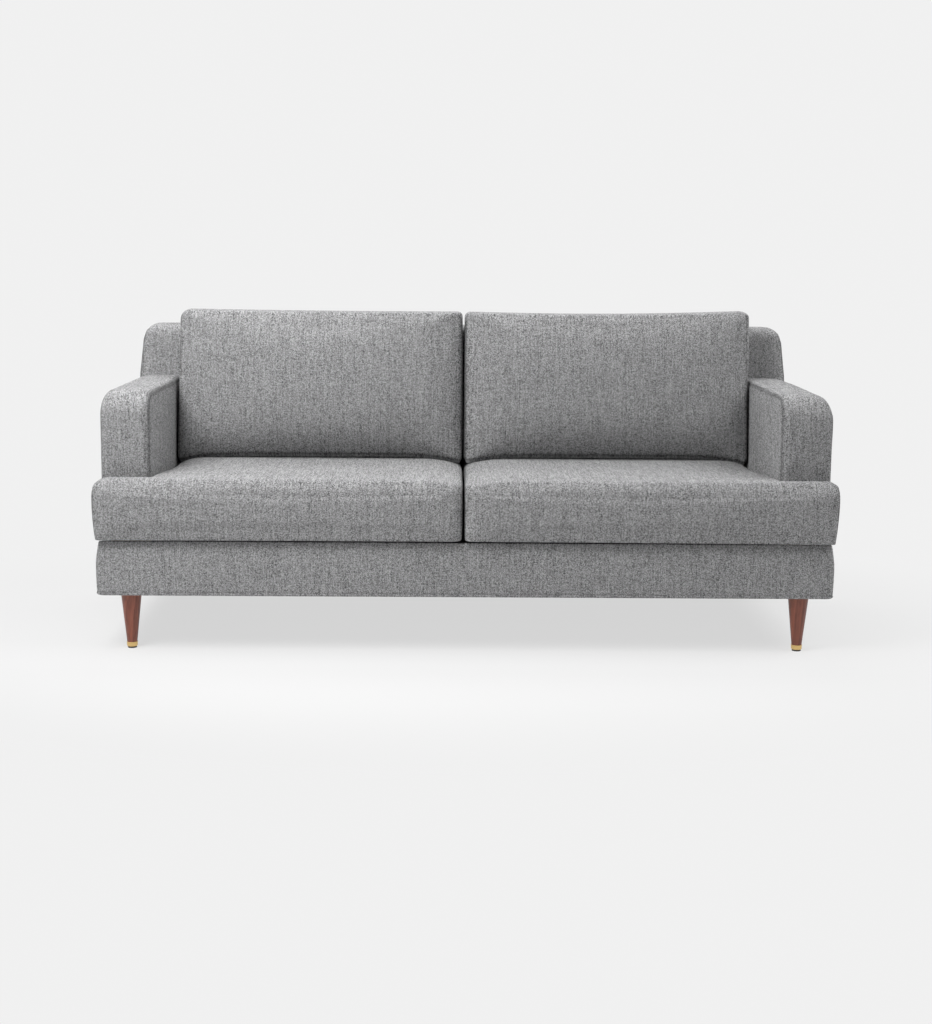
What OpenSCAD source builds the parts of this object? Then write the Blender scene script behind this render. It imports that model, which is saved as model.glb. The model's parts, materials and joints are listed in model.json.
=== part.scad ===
// Two-seater sofa: recessed arms, T-shaped seat cushions, loose back cushions, tapered legs.
// X runs across the width, Y from the front to the back, Z up from the floor.
// The origin is on the floor, at the middle of the sofa's width and depth.

/* [Overall] */
// Width over the two seat cushions' ears
sofa_w = 1900; // [1700:10:2200]
// Depth from the seat cushions' front to the back's top edge
sofa_d = 830; // [800:5:900]
// Height of the base's underside above the floor
leg_h = 145; // [120:5:180]
// Height of the padded base
base_h = 130; // [115:5:160]
// Height of the arms above the base
arm_h = 387; // [340:1:430]
// Height of the back above the base
back_h = 533; // [480:1:580]

/* [Seat cushions] */
// Thickness of a seat cushion at its crown
seat_t = 163; // [140:1:190]
// Depth of the ear in front of the arm
ear_d = 90; // [80:1:120]
// Rise of the seat's crown over the ears
seat_crown = 4; // [2:1:20]
// Swell of the front between its seams
seat_swell = 8; // [2:1:12]
// Gap between the two seat cushions
seat_gap = 3; // [2:0.5:6]

/* [Back cushions] */
// Height of a back cushion
pillow_h = 409; // [340:1:430]
// Thickness of a back cushion at its crown
pillow_t = 162; // [130:1:180]
// Thickness of a back cushion at its seams
pillow_seam_t = 104; // [80:1:120]
// Space between a back cushion and the arm
pillow_side_gap = 3.5; // [2:0.5:20]
// Sag of the top edge between the corners
pillow_sag = 6; // [0:0.5:12]

/* [Arms] */
// Width of an arm
arm_w = 133; // [115:1:160]
// How far the arms stand inside the ears
arm_inset = 5; // [2:0.5:15]
// Radius of the arm's front top corner
arm_corner_r = 66; // [40:1:90]
// Crown across the arm's front and top
arm_crown = 10; // [2:1:16]
// Radius of the arm's long edges
arm_edge_r = 16; // [8:1:22]

/* [Back] */
// Thickness of the padded back
back_t = 167; // [150:1:190]
// Lean of the back
back_rake = 6; // [3:0.5:9]
// How far the back narrows on each side above the arms
back_taper = 14; // [0:1:20]
// Radius of the back's upper corners
back_corner_r = 36; // [20:1:50]
// Radius of the back's long top edges
back_edge_r = 26; // [15:1:40]

/* [Base] */
// How far the base stands inside the ears
base_inset = 9; // [4:0.5:20]
// How far the base's front stands behind the cushions' front
base_setback = 16; // [8:1:30]
// Thickness of the base's padded border
border_t = 12; // [8:1:16]
// Radius of the border's long edges
border_edge_r = 8; // [3:0.5:10]
// Radius of the border's upright corners
border_corner_r = 20; // [16:1:30]

/* [Legs] */
// Distance of a leg's axis from the base's sides
leg_side_inset = 81; // [70:1:110]
// Distance of a leg's axis from the base's front and back
leg_front_inset = 39; // [36:1:60]
// Diameter of a leg at its top
leg_top_dia = 53; // [44:1:56]
// Diameter of a leg above its ferrule
leg_foot_dia = 26; // [22:1:32]
// Height of the brass ferrule
ferrule_h = 12; // [8:1:20]
// Wall of the ferrule
ferrule_wall = 2; // [1:0.5:3]
// Height of the glide under the ferrule
glide_h = 4; // [3:0.5:6]

/* [Frame] */
// Thickness of the frame's rails and boards
board_t = 20; // [16:1:22]
// Width of a rail between arm and back
bar_h = 56; // [40:1:70]
// Thickness of the hardboard arm panels
panel_t = 3; // [2:0.5:5]
// Padding on the sides of arms and back
side_pad = 7; // [4:0.5:12]
// Padding on the fronts of arms and back
front_pad = 14; // [8:1:20]
// Padding over the arms and the back
top_pad = 30; // [24:1:40]
// Number of springs under each seat cushion
springs_a_side = 5; // [3:1:7]
// Wire of a seat spring
spring_wire = 3.6; // [3:0.2:5]
// Number of webbing straps on each half of the back
straps_a_side = 4; // [2:1:6]
// Width of a webbing strap
strap_w = 60; // [40:1:80]

/* [Hidden] */
$fn = 64;

// Running clearance between soft pieces, and what a cut runs past a face
rest_gap = 0.4;
cut_over = 2;

// Cloth, board and wood colours
cloth_grey = [0.52, 0.52, 0.52];
core_cream = [0.93, 0.89, 0.74];
birch = [0.82, 0.7, 0.5];
walnut = [0.42, 0.22, 0.15];
steel = [0.7, 0.71, 0.73];
brass = [0.8, 0.62, 0.32];
dark_felt = [0.16, 0.15, 0.15];

// Levels
base_top = leg_h + base_h;
plate_t = 3;
dust_t = 1;
rail_bottom = leg_h + plate_t + dust_t;
rail_drop = 14;
rail_top = base_top - rail_drop;
clip_h = 5.5;
deck_rise = 3;
seat_bottom = base_top + deck_rise;
deck_top = seat_bottom - rest_gap;
deck_bottom = rail_top + clip_h;
seat_top = seat_bottom + seat_t;
arm_top = base_top + arm_h;
back_top = base_top + back_h;

// Places across the sofa, for the right-hand side
ear_x = sofa_w / 2;
base_x = ear_x - base_inset;
arm_out = ear_x - arm_inset;
arm_in = arm_out - arm_w;

// The lean of the back: a circle rounds its top rear edge and touches the sofa's full depth
front_y = -sofa_d / 2;
rear_arc_y = sofa_d / 2 - back_edge_r;
arc_z = back_top - back_edge_r;
rear_face_y = rear_arc_y + back_edge_r * cos(back_rake);
rear_face_z = arc_z - back_edge_r * sin(back_rake);
face_y = rear_face_y - back_t * cos(back_rake);
face_z = rear_face_z + back_t * sin(back_rake);

// Depth of the back's front face and of its rear face at a height
function back_front(z) = face_y + (z - face_z) * tan(back_rake);
function back_rear(z) = rear_face_y + (z - rear_face_z) * tan(back_rake);

// Places along the depth
arm_front = front_y + ear_d;
base_front = front_y + base_setback;
// The base's depth is kept to whole steps
place_step = 0.5;
base_rear = round(back_rear(base_top) / place_step) * place_step;
base_mid = (base_front + base_rear) / 2;
seat_rear = back_front(seat_bottom) - rest_gap * 2;

// A point at an angle on a circle about a centre
function on_arc(centre, r, angle) = [centre.x + r * cos(angle), centre.y + r * sin(angle)];
arc_steps = 8;
function arc(centre, r, from, to) =
    [for (i = [0:arc_steps]) on_arc(centre, r, from + (to - from) * i / arc_steps)];

// Legs and what fastens them
leg_x = base_x - leg_side_inset;
leg_front_y = base_front + leg_front_inset;
leg_back_y = base_rear - leg_front_inset;
ferrule_proud = 0.6;
ferrule_r = leg_foot_dia / 2 + ferrule_proud;
spigot_r = ferrule_r - ferrule_wall;
ferrule_top = glide_h + ferrule_h;
leg_chamfer = 1.2;
glide_pin_r = 2;
glide_pin_l = 14;
bolt_r = 4;
bolt_in_leg = 38;
bolt_in_frame = 44;
hole_gap = 0.15;
plate_w = 50;
plate_hole = 18;
screw_r = 2;
screw_head_r = 4;
screw_head_h = 2.4;
plate_screw_l = 24;
side_screw_l = 36;

// Frame
frame_side = base_x - border_t;
frame_front = base_front + border_t;
frame_rear = base_rear - border_t;
rail_in = frame_side - board_t;
block_margin = 30;
block_h = 46;
side_screw_shares = [0.55, 0.85];
side_screw_heights = [for (s = side_screw_shares) rail_bottom + (rail_top - rail_bottom) * s];

// Inside an arm
arm_foot = base_top + rest_gap / 2;
post_front = arm_front + front_pad;
hollow_in = arm_in + side_pad;
hollow_out = arm_out - side_pad;
post_in = hollow_in + panel_t;
post_out = hollow_out - panel_t;
hollow_top = arm_top - top_pad;
corner_cut = arm_corner_r / 2;
arm_shares = [0, 0.02, 0.06, 0.12, 0.25, 0.5, 0.75, 0.88, 0.94, 0.98, 1];

// Inside the back
strap_t = 2;
back_top_x = base_x - back_taper;
back_far = back_t / cos(back_rake) - side_pad;
back_hollow_top = back_top - top_pad;
front_arc_y = face_y + (back_edge_r + (arc_z - face_z) * sin(back_rake)) / cos(back_rake);
stile_foot_front = back_front(base_top) + front_pad;
stile_foot_mid = (stile_foot_front + frame_rear - board_t) / 2;
tack_low = base_top + bar_h;
strap_places = [for (i = [0:straps_a_side - 1])
    board_t + (rail_in - 2 * board_t) * (i + 0.5) / straps_a_side];

// Springs and deck
spring_waves = 24;
spring_steps = 4;
spring_swing = 26;
spring_end_gap = 1;
spring_from = frame_front + spring_end_gap;
spring_to = frame_rear - spring_end_gap;
spring_places = [for (i = [0:springs_a_side - 1]) arm_in * (i + 0.5) / springs_a_side];
clip_w = 14;
wave_from = spring_from + clip_w;
wave_l = spring_to - clip_w - wave_from;
deck_side_gap = 2;
deck_x = arm_in - deck_side_gap;

// Cushions
roll_shares = [0, 0.12, 0.4, 1];
roll_w = 24;
boxing_rows = 4;
seat_columns = 5;
ear_rows = 1;
pillow_columns = 6;
pillow_rows = 5;
swell_power = 0.6;
corner_r = 24;
core_wall = 16;
side_swell = 2;
arm_gap = 3;
body_x = arm_in - arm_gap;
ear_rear = arm_front - arm_gap;
seat_roll = 7;
seat_pull = 3;
seat_low_seam = seat_bottom + seat_roll;
seat_high_seam = seat_top - seat_crown - seat_roll;
core_low = seat_bottom + core_wall;
core_high = seat_high_seam - seat_roll;
seat_mid_x = (seat_gap / 2 + body_x) / 2;
seat_zip_z = (core_low + core_high) / 2;
seat_peak_share = 0.8;
seat_peak_y = front_y + (seat_rear - front_y) * seat_peak_share;
ear_shares = [0.35, 0.7];
depth_shares = [0.2, 0.4, 0.6, 0.8];
pillow_x = arm_in - pillow_side_gap;
pillow_mid_x = (seat_gap / 2 + pillow_x) / 2;
pillow_bottom = seat_top + rest_gap;
pillow_swell = 8;
pillow_roll = 12;
pillow_rear_roll = 8;
pillow_pull = 5;
pillow_peak_share = 0.45;
pillow_crown = pillow_t - pillow_seam_t - pillow_roll;
pillow_zip_y = back_front(pillow_bottom) - rest_gap - (pillow_rear_roll + pillow_seam_t) / 2;

// Zips
zip_l = 560;
zip_w = 14;
zip_t = 2;
zip_sink = 5;
zip_clear = 0.3;
pull_l = 12;
pull_w = 8;
pull_t = 3.2;
pull_tab_l = 18;
pull_tab_w = 5;
pull_tab_t = 1.2;

// A box given by its two far corners
module block(low, high) {
    translate(low) cube(high - low);
}

// The left-hand copy of a right-hand piece
module other_side() {
    mirror([1, 0, 0]) children();
}

// An outline in depth and height, run across the width from one place to another
module across(from, to) {
    translate([from, 0, 0]) rotate([90, 0, 90]) linear_extrude(to - from) children();
}

// A bar that leans with the back, given by its distances behind the back's front face
module leaning_bar(from, to, near, far, low, high) {
    across(from, to) polygon([
        [back_front(low) + near, low], [back_front(low) + far, low],
        [back_front(high) + far, high], [back_front(high) + near, high]]);
}

// Legs, from the floor up

module at_leg(side, y) {
    translate([side * leg_x, y, 0]) children();
}

module at_every_leg() {
    for (side = [-1, 1], y = [leg_front_y, leg_back_y]) at_leg(side, y) children();
}

module leg() {
    color(walnut) difference() {
        rotate_extrude() polygon([
            [0, glide_h], [spigot_r, glide_h], [spigot_r, ferrule_top],
            [leg_foot_dia / 2, ferrule_top], [leg_top_dia / 2, leg_h - leg_chamfer],
            [leg_top_dia / 2 - leg_chamfer, leg_h], [0, leg_h]]);
        translate([0, 0, glide_h - cut_over])
            cylinder(r = glide_pin_r + hole_gap, h = glide_pin_l + cut_over);
        translate([0, 0, leg_h - bolt_in_leg])
            cylinder(r = bolt_r + hole_gap, h = bolt_in_leg + cut_over);
    }
}

module ferrule() {
    color(brass) rotate_extrude() polygon([
        [spigot_r, glide_h], [ferrule_r - leg_chamfer, glide_h], [ferrule_r, glide_h + leg_chamfer],
        [ferrule_r + leg_chamfer / 2, ferrule_top], [spigot_r, ferrule_top]]);
}

module glide() {
    color(dark_felt) {
        cylinder(r = spigot_r, h = glide_h);
        cylinder(r = glide_pin_r, h = glide_h + glide_pin_l - hole_gap);
    }
}

module leg_front_left() { at_leg(-1, leg_front_y) leg(); }
module leg_front_right() { at_leg(1, leg_front_y) leg(); }
module leg_back_left() { at_leg(-1, leg_back_y) leg(); }
module leg_back_right() { at_leg(1, leg_back_y) leg(); }
module ferrule_front_left() { at_leg(-1, leg_front_y) ferrule(); }
module ferrule_front_right() { at_leg(1, leg_front_y) ferrule(); }
module ferrule_back_left() { at_leg(-1, leg_back_y) ferrule(); }
module ferrule_back_right() { at_leg(1, leg_back_y) ferrule(); }
module glide_front_left() { at_leg(-1, leg_front_y) glide(); }
module glide_front_right() { at_leg(1, leg_front_y) glide(); }
module glide_back_left() { at_leg(-1, leg_back_y) glide(); }
module glide_back_right() { at_leg(1, leg_back_y) glide(); }

// One plate screw, with its head flush in the plate's underside
module plate_screw(grow) {
    translate([0, 0, leg_h]) {
        cylinder(r = screw_r + grow, h = plate_screw_l + grow);
        cylinder(r1 = screw_head_r + grow, r2 = screw_r + grow, h = screw_head_h);
    }
}

module plate_screws(grow) {
    for (x = [-1, 1], y = [-1, 1]) translate([x * plate_hole, y * plate_hole, 0]) plate_screw(grow);
}

// What the plates' bolts and screws cut out of the frame above the legs
module leg_fastener_cuts() {
    at_every_leg() {
        plate_screws(hole_gap);
        translate([0, 0, leg_h - cut_over])
            cylinder(r = bolt_r + hole_gap, h = bolt_in_frame + cut_over + hole_gap);
    }
}

module leg_plates() {
    color(steel) difference() {
        at_every_leg()
            block([-plate_w / 2, -plate_w / 2, leg_h], [plate_w / 2, plate_w / 2, leg_h + plate_t]);
        leg_fastener_cuts();
    }
}

module leg_plate_screws() {
    color(steel) at_every_leg() plate_screws(0);
}

module leg_bolts() {
    color(steel) at_every_leg() translate([0, 0, leg_h - bolt_in_leg + hole_gap])
        cylinder(r = bolt_r, h = bolt_in_leg + bolt_in_frame - hole_gap);
}

// Base frame

module front_rail() {
    color(birch) difference() {
        block([-frame_side, frame_front, rail_bottom], [frame_side, frame_front + board_t, rail_top]);
        leg_fastener_cuts();
    }
}

module back_rail() {
    color(birch) difference() {
        block([-frame_side, frame_rear - board_t, rail_bottom], [frame_side, frame_rear, rail_top]);
        leg_fastener_cuts();
    }
}

module side_rail_right() {
    color(birch) difference() {
        block([rail_in, frame_front + board_t, rail_bottom], [frame_side, frame_rear - board_t, rail_top]);
        side_screws(hole_gap);
    }
}

module side_rail_left() { other_side() side_rail_right(); }

module centre_rail() {
    color(birch)
        block([-board_t / 2, frame_front + board_t, rail_bottom],
            [board_t / 2, frame_rear - board_t, rail_top]);
}

module corner_blocks() {
    color(birch) difference() {
        for (side = [0, 1]) mirror([side, 0, 0]) {
            block([leg_x - block_margin, frame_front + board_t, rail_bottom],
                [rail_in, leg_front_y + block_margin, rail_bottom + block_h]);
            block([leg_x - block_margin, leg_back_y - block_margin, rail_bottom],
                [rail_in, frame_rear - board_t, rail_bottom + block_h]);
        }
        leg_fastener_cuts();
    }
}

// Screws through a side rail into the arm's post and the back's stile
module side_screws(grow) {
    for (y = [post_front + board_t / 2, stile_foot_mid], z = side_screw_heights)
        translate([frame_side, y, z]) rotate([0, -90, 0]) {
            cylinder(r = screw_r + grow, h = side_screw_l + grow);
            cylinder(r1 = screw_head_r + grow, r2 = screw_r + grow, h = screw_head_h);
        }
}

module frame_screws() {
    color(steel) {
        side_screws(0);
        other_side() side_screws(0);
    }
}

module dust_cover() {
    color(dark_felt) difference() {
        block([-frame_side, frame_front, leg_h + plate_t], [frame_side, frame_rear, rail_bottom]);
        leg_fastener_cuts();
    }
}

// The padded band round the base: four straight runs and four turned corners
module border_outline() {
    r = border_edge_r;
    polygon(concat([[0, 0]], arc([border_t - r, r], r, -90, 0), arc([border_t - r, base_h - r], r, 0, 90),
        [[0, base_h]]));
}

module border_run(length) {
    rotate([90, 0, 90]) linear_extrude(length) border_outline();
}

module base_border() {
    c = border_corner_r;
    wide = 2 * (base_x - c);
    deep = base_rear - base_front - 2 * c;
    color(cloth_grey) difference() {
        translate([0, base_mid, leg_h]) for (turn = [0, 180]) rotate([0, 0, turn]) {
            translate([wide / 2, -deep / 2 - c + border_t, 0]) rotate([0, 0, 180]) border_run(wide);
            translate([wide / 2 + c - border_t, -deep / 2, 0]) rotate([0, 0, -90]) mirror([1, 0, 0])
                border_run(deep);
            for (way = [-1, 1]) translate([wide / 2, way * deep / 2, 0]) rotate([0, 0, way * 45 - 45])
                rotate_extrude(angle = 90) translate([c - border_t, 0]) border_outline();
        }
        block([-frame_side, frame_front, leg_h - cut_over], [frame_side, frame_rear, base_top + cut_over]);
    }
}

// Seat suspension and deck

// The middle of a seat spring's wire, which swings from side to side between its straight ends
function spring_angle(t) = 180 * spring_waves * t;
function spring_point(t) = [spring_swing * cos(spring_angle(t)), wave_from + wave_l * t];
function spring_heading(t) =
    atan2(wave_l, -spring_swing * spring_waves * PI * sin(spring_angle(t)));
function spring_side(t, way) =
    let (p = spring_point(t), h = spring_heading(t))
    [p.x + way * spring_wire / 2 * sin(h), p.y - way * spring_wire / 2 * cos(h)];

module spring() {
    steps = spring_waves * spring_steps;
    inner = spring_swing - spring_wire / 2;
    outer = spring_swing + spring_wire / 2;
    translate([0, 0, rail_top]) linear_extrude(spring_wire) polygon(concat(
        [[inner, spring_from], [outer, spring_from]],
        [for (i = [0:steps]) spring_side(i / steps, 1)],
        [[outer, spring_to], [inner, spring_to]],
        [for (i = [steps:-1:0]) spring_side(i / steps, -1)]));
}

module seat_springs_right() {
    color(steel) for (x = spring_places) translate([x, 0, 0]) spring();
}

module seat_springs_left() { other_side() seat_springs_right(); }

module spring_clip() {
    difference() {
        block([-clip_w / 2, -clip_w / 2, rail_top], [clip_w / 2, clip_w / 2, rail_top + clip_h]);
        block([-spring_wire / 2 - hole_gap, -clip_w, rail_top - cut_over],
            [spring_wire / 2 + hole_gap, clip_w, rail_top + spring_wire + hole_gap]);
    }
}

module spring_clips() {
    color(steel) for (side = [0, 1]) mirror([side, 0, 0])
        for (x = spring_places, y = [spring_from + clip_w / 2, spring_to - clip_w / 2])
            translate([x + spring_swing, y, 0]) spring_clip();
}

module seat_deck() {
    color(cloth_grey) block([-deck_x, frame_front, deck_bottom], [deck_x, seat_rear, deck_top]);
}

// Arms

// How far the arm's skin lies under its crest, across the arm
function arm_drop(s) =
    let (d = min(s, 1 - s) * arm_w, e = 1 - min(d / arm_edge_r, 1))
    arm_crown * pow(abs(2 * s - 1), 3) + arm_edge_r * (1 - sqrt(1 - e * e));

// Rings of points from the arm's foot, round the front corner and back along the top
arm_rings = arc_steps + 3;
function arm_point(ring, s) =
    let (drop = arm_drop(s), x = arm_in + arm_w * s, r = arm_corner_r - drop,
        centre = [arm_front + arm_corner_r, arm_top - arm_corner_r],
        turned = on_arc(centre, r, 180 - 90 * (ring - 1) / arc_steps),
        top = arm_top - drop)
    ring == 0 ? [x, arm_front + drop, arm_foot]
    : ring == arm_rings - 1 ? [x, back_front(top) - rest_gap, top]
    : [x, turned.x, turned.y];

module arm_form() {
    n = len(arm_shares);
    inner_heel = arm_rings * n;
    outer_heel = inner_heel + 1;
    last = (arm_rings - 1) * n;
    polyhedron(
        points = concat(
            [for (ring = [0:arm_rings - 1], s = arm_shares) arm_point(ring, s)],
            [for (x = [arm_in, arm_out]) [x, back_front(arm_foot) - rest_gap, arm_foot]]),
        faces = concat(
            [for (ring = [0:arm_rings - 2], i = [0:n - 2]) let (a = ring * n + i, b = a + n)
                each [[a, b, b + 1], [a, b + 1, a + 1]]],
            [concat([for (ring = [arm_rings - 1:-1:0]) ring * n], [inner_heel])],
            [concat([for (ring = [0:arm_rings - 1]) ring * n + n - 1], [outer_heel])],
            [concat([for (i = [0:n - 1]) i], [outer_heel, inner_heel])],
            [concat([for (i = [n - 1:-1:0]) last + i], [inner_heel, outer_heel])]));
}

// The space inside an arm, where its frame stands
module arm_hollow(from, to) {
    across(from, to) polygon([
        [post_front, arm_foot - cut_over], [post_front, hollow_top - corner_cut],
        [post_front + corner_cut, hollow_top], [back_front(hollow_top) + front_pad, hollow_top],
        [back_front(arm_foot - cut_over) + front_pad, arm_foot - cut_over]]);
}

module arm_cover_right() {
    color(cloth_grey) difference() {
        arm_form();
        arm_hollow(hollow_in, hollow_out);
    }
}

module arm_post_right() {
    color(birch) {
        intersection() {
            block([post_in, post_front, arm_foot], [post_out, post_front + board_t, hollow_top - board_t]);
            arm_hollow(post_in, post_out);
        }
        difference() {
            block([post_in, post_front, rail_bottom + block_h], [rail_in, post_front + board_t, arm_foot]);
            side_screws(hole_gap);
        }
    }
}

module arm_top_rail_right() {
    color(birch) intersection() {
        block([post_in, post_front, hollow_top - board_t], [post_out, sofa_d, hollow_top]);
        arm_hollow(post_in, post_out);
    }
}

module arm_panels_right() {
    color(birch) intersection() {
        union() {
            block([hollow_in, post_front, arm_foot], [post_in, sofa_d, hollow_top]);
            block([post_out, post_front, arm_foot], [hollow_out, sofa_d, hollow_top]);
        }
        arm_hollow(hollow_in, hollow_out);
    }
}

module arm_cover_left() { other_side() arm_cover_right(); }
module arm_post_left() { other_side() arm_post_right(); }
module arm_top_rail_left() { other_side() arm_top_rail_right(); }
module arm_panels_left() { other_side() arm_panels_right(); }

// Back

module back_form() {
    intersection() {
        across(-base_x, base_x) polygon(concat(
            [[back_front(arm_foot), arm_foot]],
            arc([front_arc_y, arc_z], back_edge_r, 180 - back_rake, 90),
            arc([rear_arc_y, arc_z], back_edge_r, 90, 0),
            [[rear_face_y, rear_face_z], [back_rear(arm_foot), arm_foot]]));
        translate([0, sofa_d, 0]) rotate([90, 0, 0]) linear_extrude(2 * sofa_d) polygon(concat(
            [[-base_x, arm_foot], [base_x, arm_foot], [base_x, arm_top]],
            arc([back_top_x - back_corner_r, back_top - back_corner_r], back_corner_r, 0, 90),
            arc([back_corner_r - back_top_x, back_top - back_corner_r], back_corner_r, 90, 180),
            [[-base_x, arm_top]]));
    }
}

module back_cover() {
    color(cloth_grey) difference() {
        back_form();
        leaning_bar(-rail_in, rail_in, front_pad - strap_t, back_far, arm_foot - cut_over, back_hollow_top);
        for (side = [0, 1]) mirror([side, 0, 0])
            leaning_bar(hollow_in, hollow_out, -cut_over, front_pad, arm_foot - cut_over, hollow_top);
    }
}

module back_stile_right() {
    color(birch) {
        leaning_bar(rail_in - board_t, rail_in, front_pad, back_far, base_top, back_hollow_top - board_t);
        difference() {
            block([rail_in - board_t, stile_foot_front, rail_bottom + block_h],
                [rail_in, frame_rear - board_t, base_top]);
            side_screws(hole_gap);
        }
    }
}

module back_stile_left() { other_side() back_stile_right(); }

module back_stile_centre() {
    color(birch) {
        leaning_bar(-board_t / 2, board_t / 2, front_pad, back_far, base_top, back_hollow_top - board_t);
        block([-board_t / 2, stile_foot_front, rail_top], [board_t / 2, frame_rear - board_t, base_top]);
    }
}

module back_top_rail() {
    color(birch)
        leaning_bar(-rail_in, rail_in, front_pad, back_far, back_hollow_top - board_t, back_hollow_top);
}

module back_tack_rail() {
    color(birch) for (side = [0, 1]) mirror([side, 0, 0])
        leaning_bar(board_t / 2, rail_in - board_t, front_pad, front_pad + board_t,
            tack_low, tack_low + bar_h);
}

module back_webbing() {
    color(dark_felt) for (side = [0, 1], x = strap_places) mirror([side, 0, 0])
        leaning_bar(x - strap_w / 2, x + strap_w / 2, front_pad - strap_t, front_pad, tack_low,
            back_hollow_top);
}

// Cushion skins: a grid of points, close together where the edges roll over

// Grid lines from one seam, across the roll at each edge, to the other
function grid_lines(from, to, roll, steps) = concat(
    [for (s = roll_shares) from + roll * s],
    [for (i = [1:1:steps - 1]) from + roll + (to - from - 2 * roll) * i / steps],
    [for (i = [len(roll_shares) - 1:-1:0]) to - roll * roll_shares[i]]);

// Rise of a rolled edge at a distance from its seam, from none to full
function roll_share(d, roll) = let (s = 1 - max(0, min(d / roll, 1))) sqrt(1 - s * s);

// Swell of the boxing between the bottom seam and the top seam
function swell_share(k) = pow(sin(180 * k / boxing_rows), swell_power);

// Turns a square corner of the grid into a round one
function bend(p, centre, way, rx, ry) =
    let (a = min(1, (p.x - centre.x) * way.x / rx), b = min(1, (p.y - centre.y) * way.y / ry))
    a > 0 && b > 0
    ? [centre.x + way.x * rx * a * sqrt(1 - b * b / 2), centre.y + way.y * ry * b * sqrt(1 - a * a / 2)]
    : p;

// Faces over the cells that the cushion fills, and down its sides
function place(i, j, k, nx, ny) = (k * ny + j) * nx + i;
function quad(a, b, c, d) = [[a, b, c], [a, c, d]];
function wall(i, j, di, dj, nx, ny) = [for (k = [0:boxing_rows - 1]) each quad(
    place(i, j, k, nx, ny), place(i, j, k + 1, nx, ny),
    place(i + di, j + dj, k + 1, nx, ny), place(i + di, j + dj, k, nx, ny))];
function cell_faces(cells, i, j) =
    let (nx = len(cells[0]) + 1, ny = len(cells) + 1, top = boxing_rows)
    concat(
        quad(place(i, j, top, nx, ny), place(i, j + 1, top, nx, ny),
            place(i + 1, j + 1, top, nx, ny), place(i + 1, j, top, nx, ny)),
        quad(place(i, j, 0, nx, ny), place(i + 1, j, 0, nx, ny),
            place(i + 1, j + 1, 0, nx, ny), place(i, j + 1, 0, nx, ny)),
        j > 0 && cells[j - 1][i] ? [] : wall(i, j, 1, 0, nx, ny),
        j < ny - 2 && cells[j + 1][i] ? [] : wall(i + 1, j + 1, -1, 0, nx, ny),
        i > 0 && cells[j][i - 1] ? [] : wall(i, j + 1, 0, -1, nx, ny),
        i < nx - 2 && cells[j][i + 1] ? [] : wall(i + 1, j, 0, 1, nx, ny));
function skin_faces(cells) =
    [for (j = [0:len(cells) - 1], i = [0:len(cells[0]) - 1]) if (cells[j][i]) each cell_faces(cells, i, j)];

// Seat cushions

// Seam lines of the right-hand seat cushion
seat_near_x = seat_gap / 2 + side_swell;
seat_body_x = body_x - side_swell;
seat_far_x = ear_x - seat_swell;
seat_near_y = front_y + seat_swell;
seat_ear_y = ear_rear - side_swell;
seat_xs = concat(grid_lines(seat_near_x, seat_body_x, roll_w, seat_columns),
    [for (s = ear_shares) seat_body_x + (seat_far_x - roll_w - seat_body_x) * s],
    [for (i = [len(roll_shares) - 1:-1:0]) seat_far_x - roll_w * roll_shares[i]]);
seat_ys = concat(grid_lines(seat_near_y, seat_ear_y, roll_w, ear_rows),
    [for (s = depth_shares) seat_ear_y + (seat_rear - roll_w - seat_ear_y) * s],
    [for (i = [len(roll_shares) - 1:-1:0]) seat_rear - roll_w * roll_shares[i]]);
body_i = 2 * len(roll_shares) + seat_columns - 2;
ear_j = 2 * len(roll_shares) + ear_rows - 2;
seat_cells = [for (j = [0:len(seat_ys) - 2]) [for (i = [0:len(seat_xs) - 2]) i < body_i || j < ear_j]];

// Distance from a grid point to the nearest seam
function seat_edge(i, j) =
    let (x = seat_xs[i], y = seat_ys[j])
    min(x - seat_near_x, y - seat_near_y, seat_rear - y,
        i >= body_i ? min(seat_far_x - x, seat_ear_y - y)
        : j >= ear_j ? seat_body_x - x
        : norm([seat_body_x - x, seat_ear_y - y]));

function seat_rise(i, j) =
    let (across_share = min(1, abs(2 * (seat_xs[i] - seat_near_x) / (seat_body_x - seat_near_x) - 1)),
        y = seat_ys[j],
        deep_share = y < seat_peak_y ? (seat_peak_y - y) / (seat_peak_y - seat_near_y)
            : (y - seat_peak_y) / (seat_rear - seat_peak_y))
    seat_crown * (1 - pow(across_share, 4)) * (1 - pow(deep_share, 4));

function seat_point(i, j, k) =
    let (q = swell_share(k), slack = 1 - q, last_i = len(seat_xs) - 1,
        x = seat_xs[i], y = seat_ys[j],
        px = i == 0 ? x - side_swell * q : i == last_i ? x + seat_swell * q
            : i == body_i && j >= ear_j ? x + side_swell * q : x,
        py = j == 0 ? y - seat_swell * q : j == ear_j && i >= body_i ? y + side_swell * q : y,
        pull = seat_pull * slack * sin(180 * (x - seat_near_x) / (seat_far_x - seat_near_x))
            * max(0, 1 - (y - seat_near_y) / (seat_ear_y - seat_near_y)),
        wide = corner_r - seat_swell * slack, slim = corner_r - side_swell * slack,
        a = bend([px, py], [seat_gap / 2 + corner_r, front_y + corner_r], [-1, -1], slim, wide),
        b = bend(a, [ear_x - corner_r, front_y + corner_r], [1, -1], wide, wide),
        c = bend(b, [ear_x - corner_r, ear_rear - corner_r], [1, 1], wide, slim),
        d = bend(c, [body_x - corner_r, seat_rear - corner_r], [1, 1], slim, corner_r),
        e = bend(d, [seat_gap / 2 + corner_r, seat_rear - corner_r], [-1, 1], slim, corner_r),
        rolled = seat_roll * roll_share(seat_edge(i, j), roll_w),
        z = k == 0 ? seat_low_seam - rolled
            : k == boxing_rows ? seat_high_seam + rolled + seat_rise(i, j)
            : seat_low_seam + (seat_high_seam - seat_low_seam) * k / boxing_rows)
    [e.x, e.y + pull, z];

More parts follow.
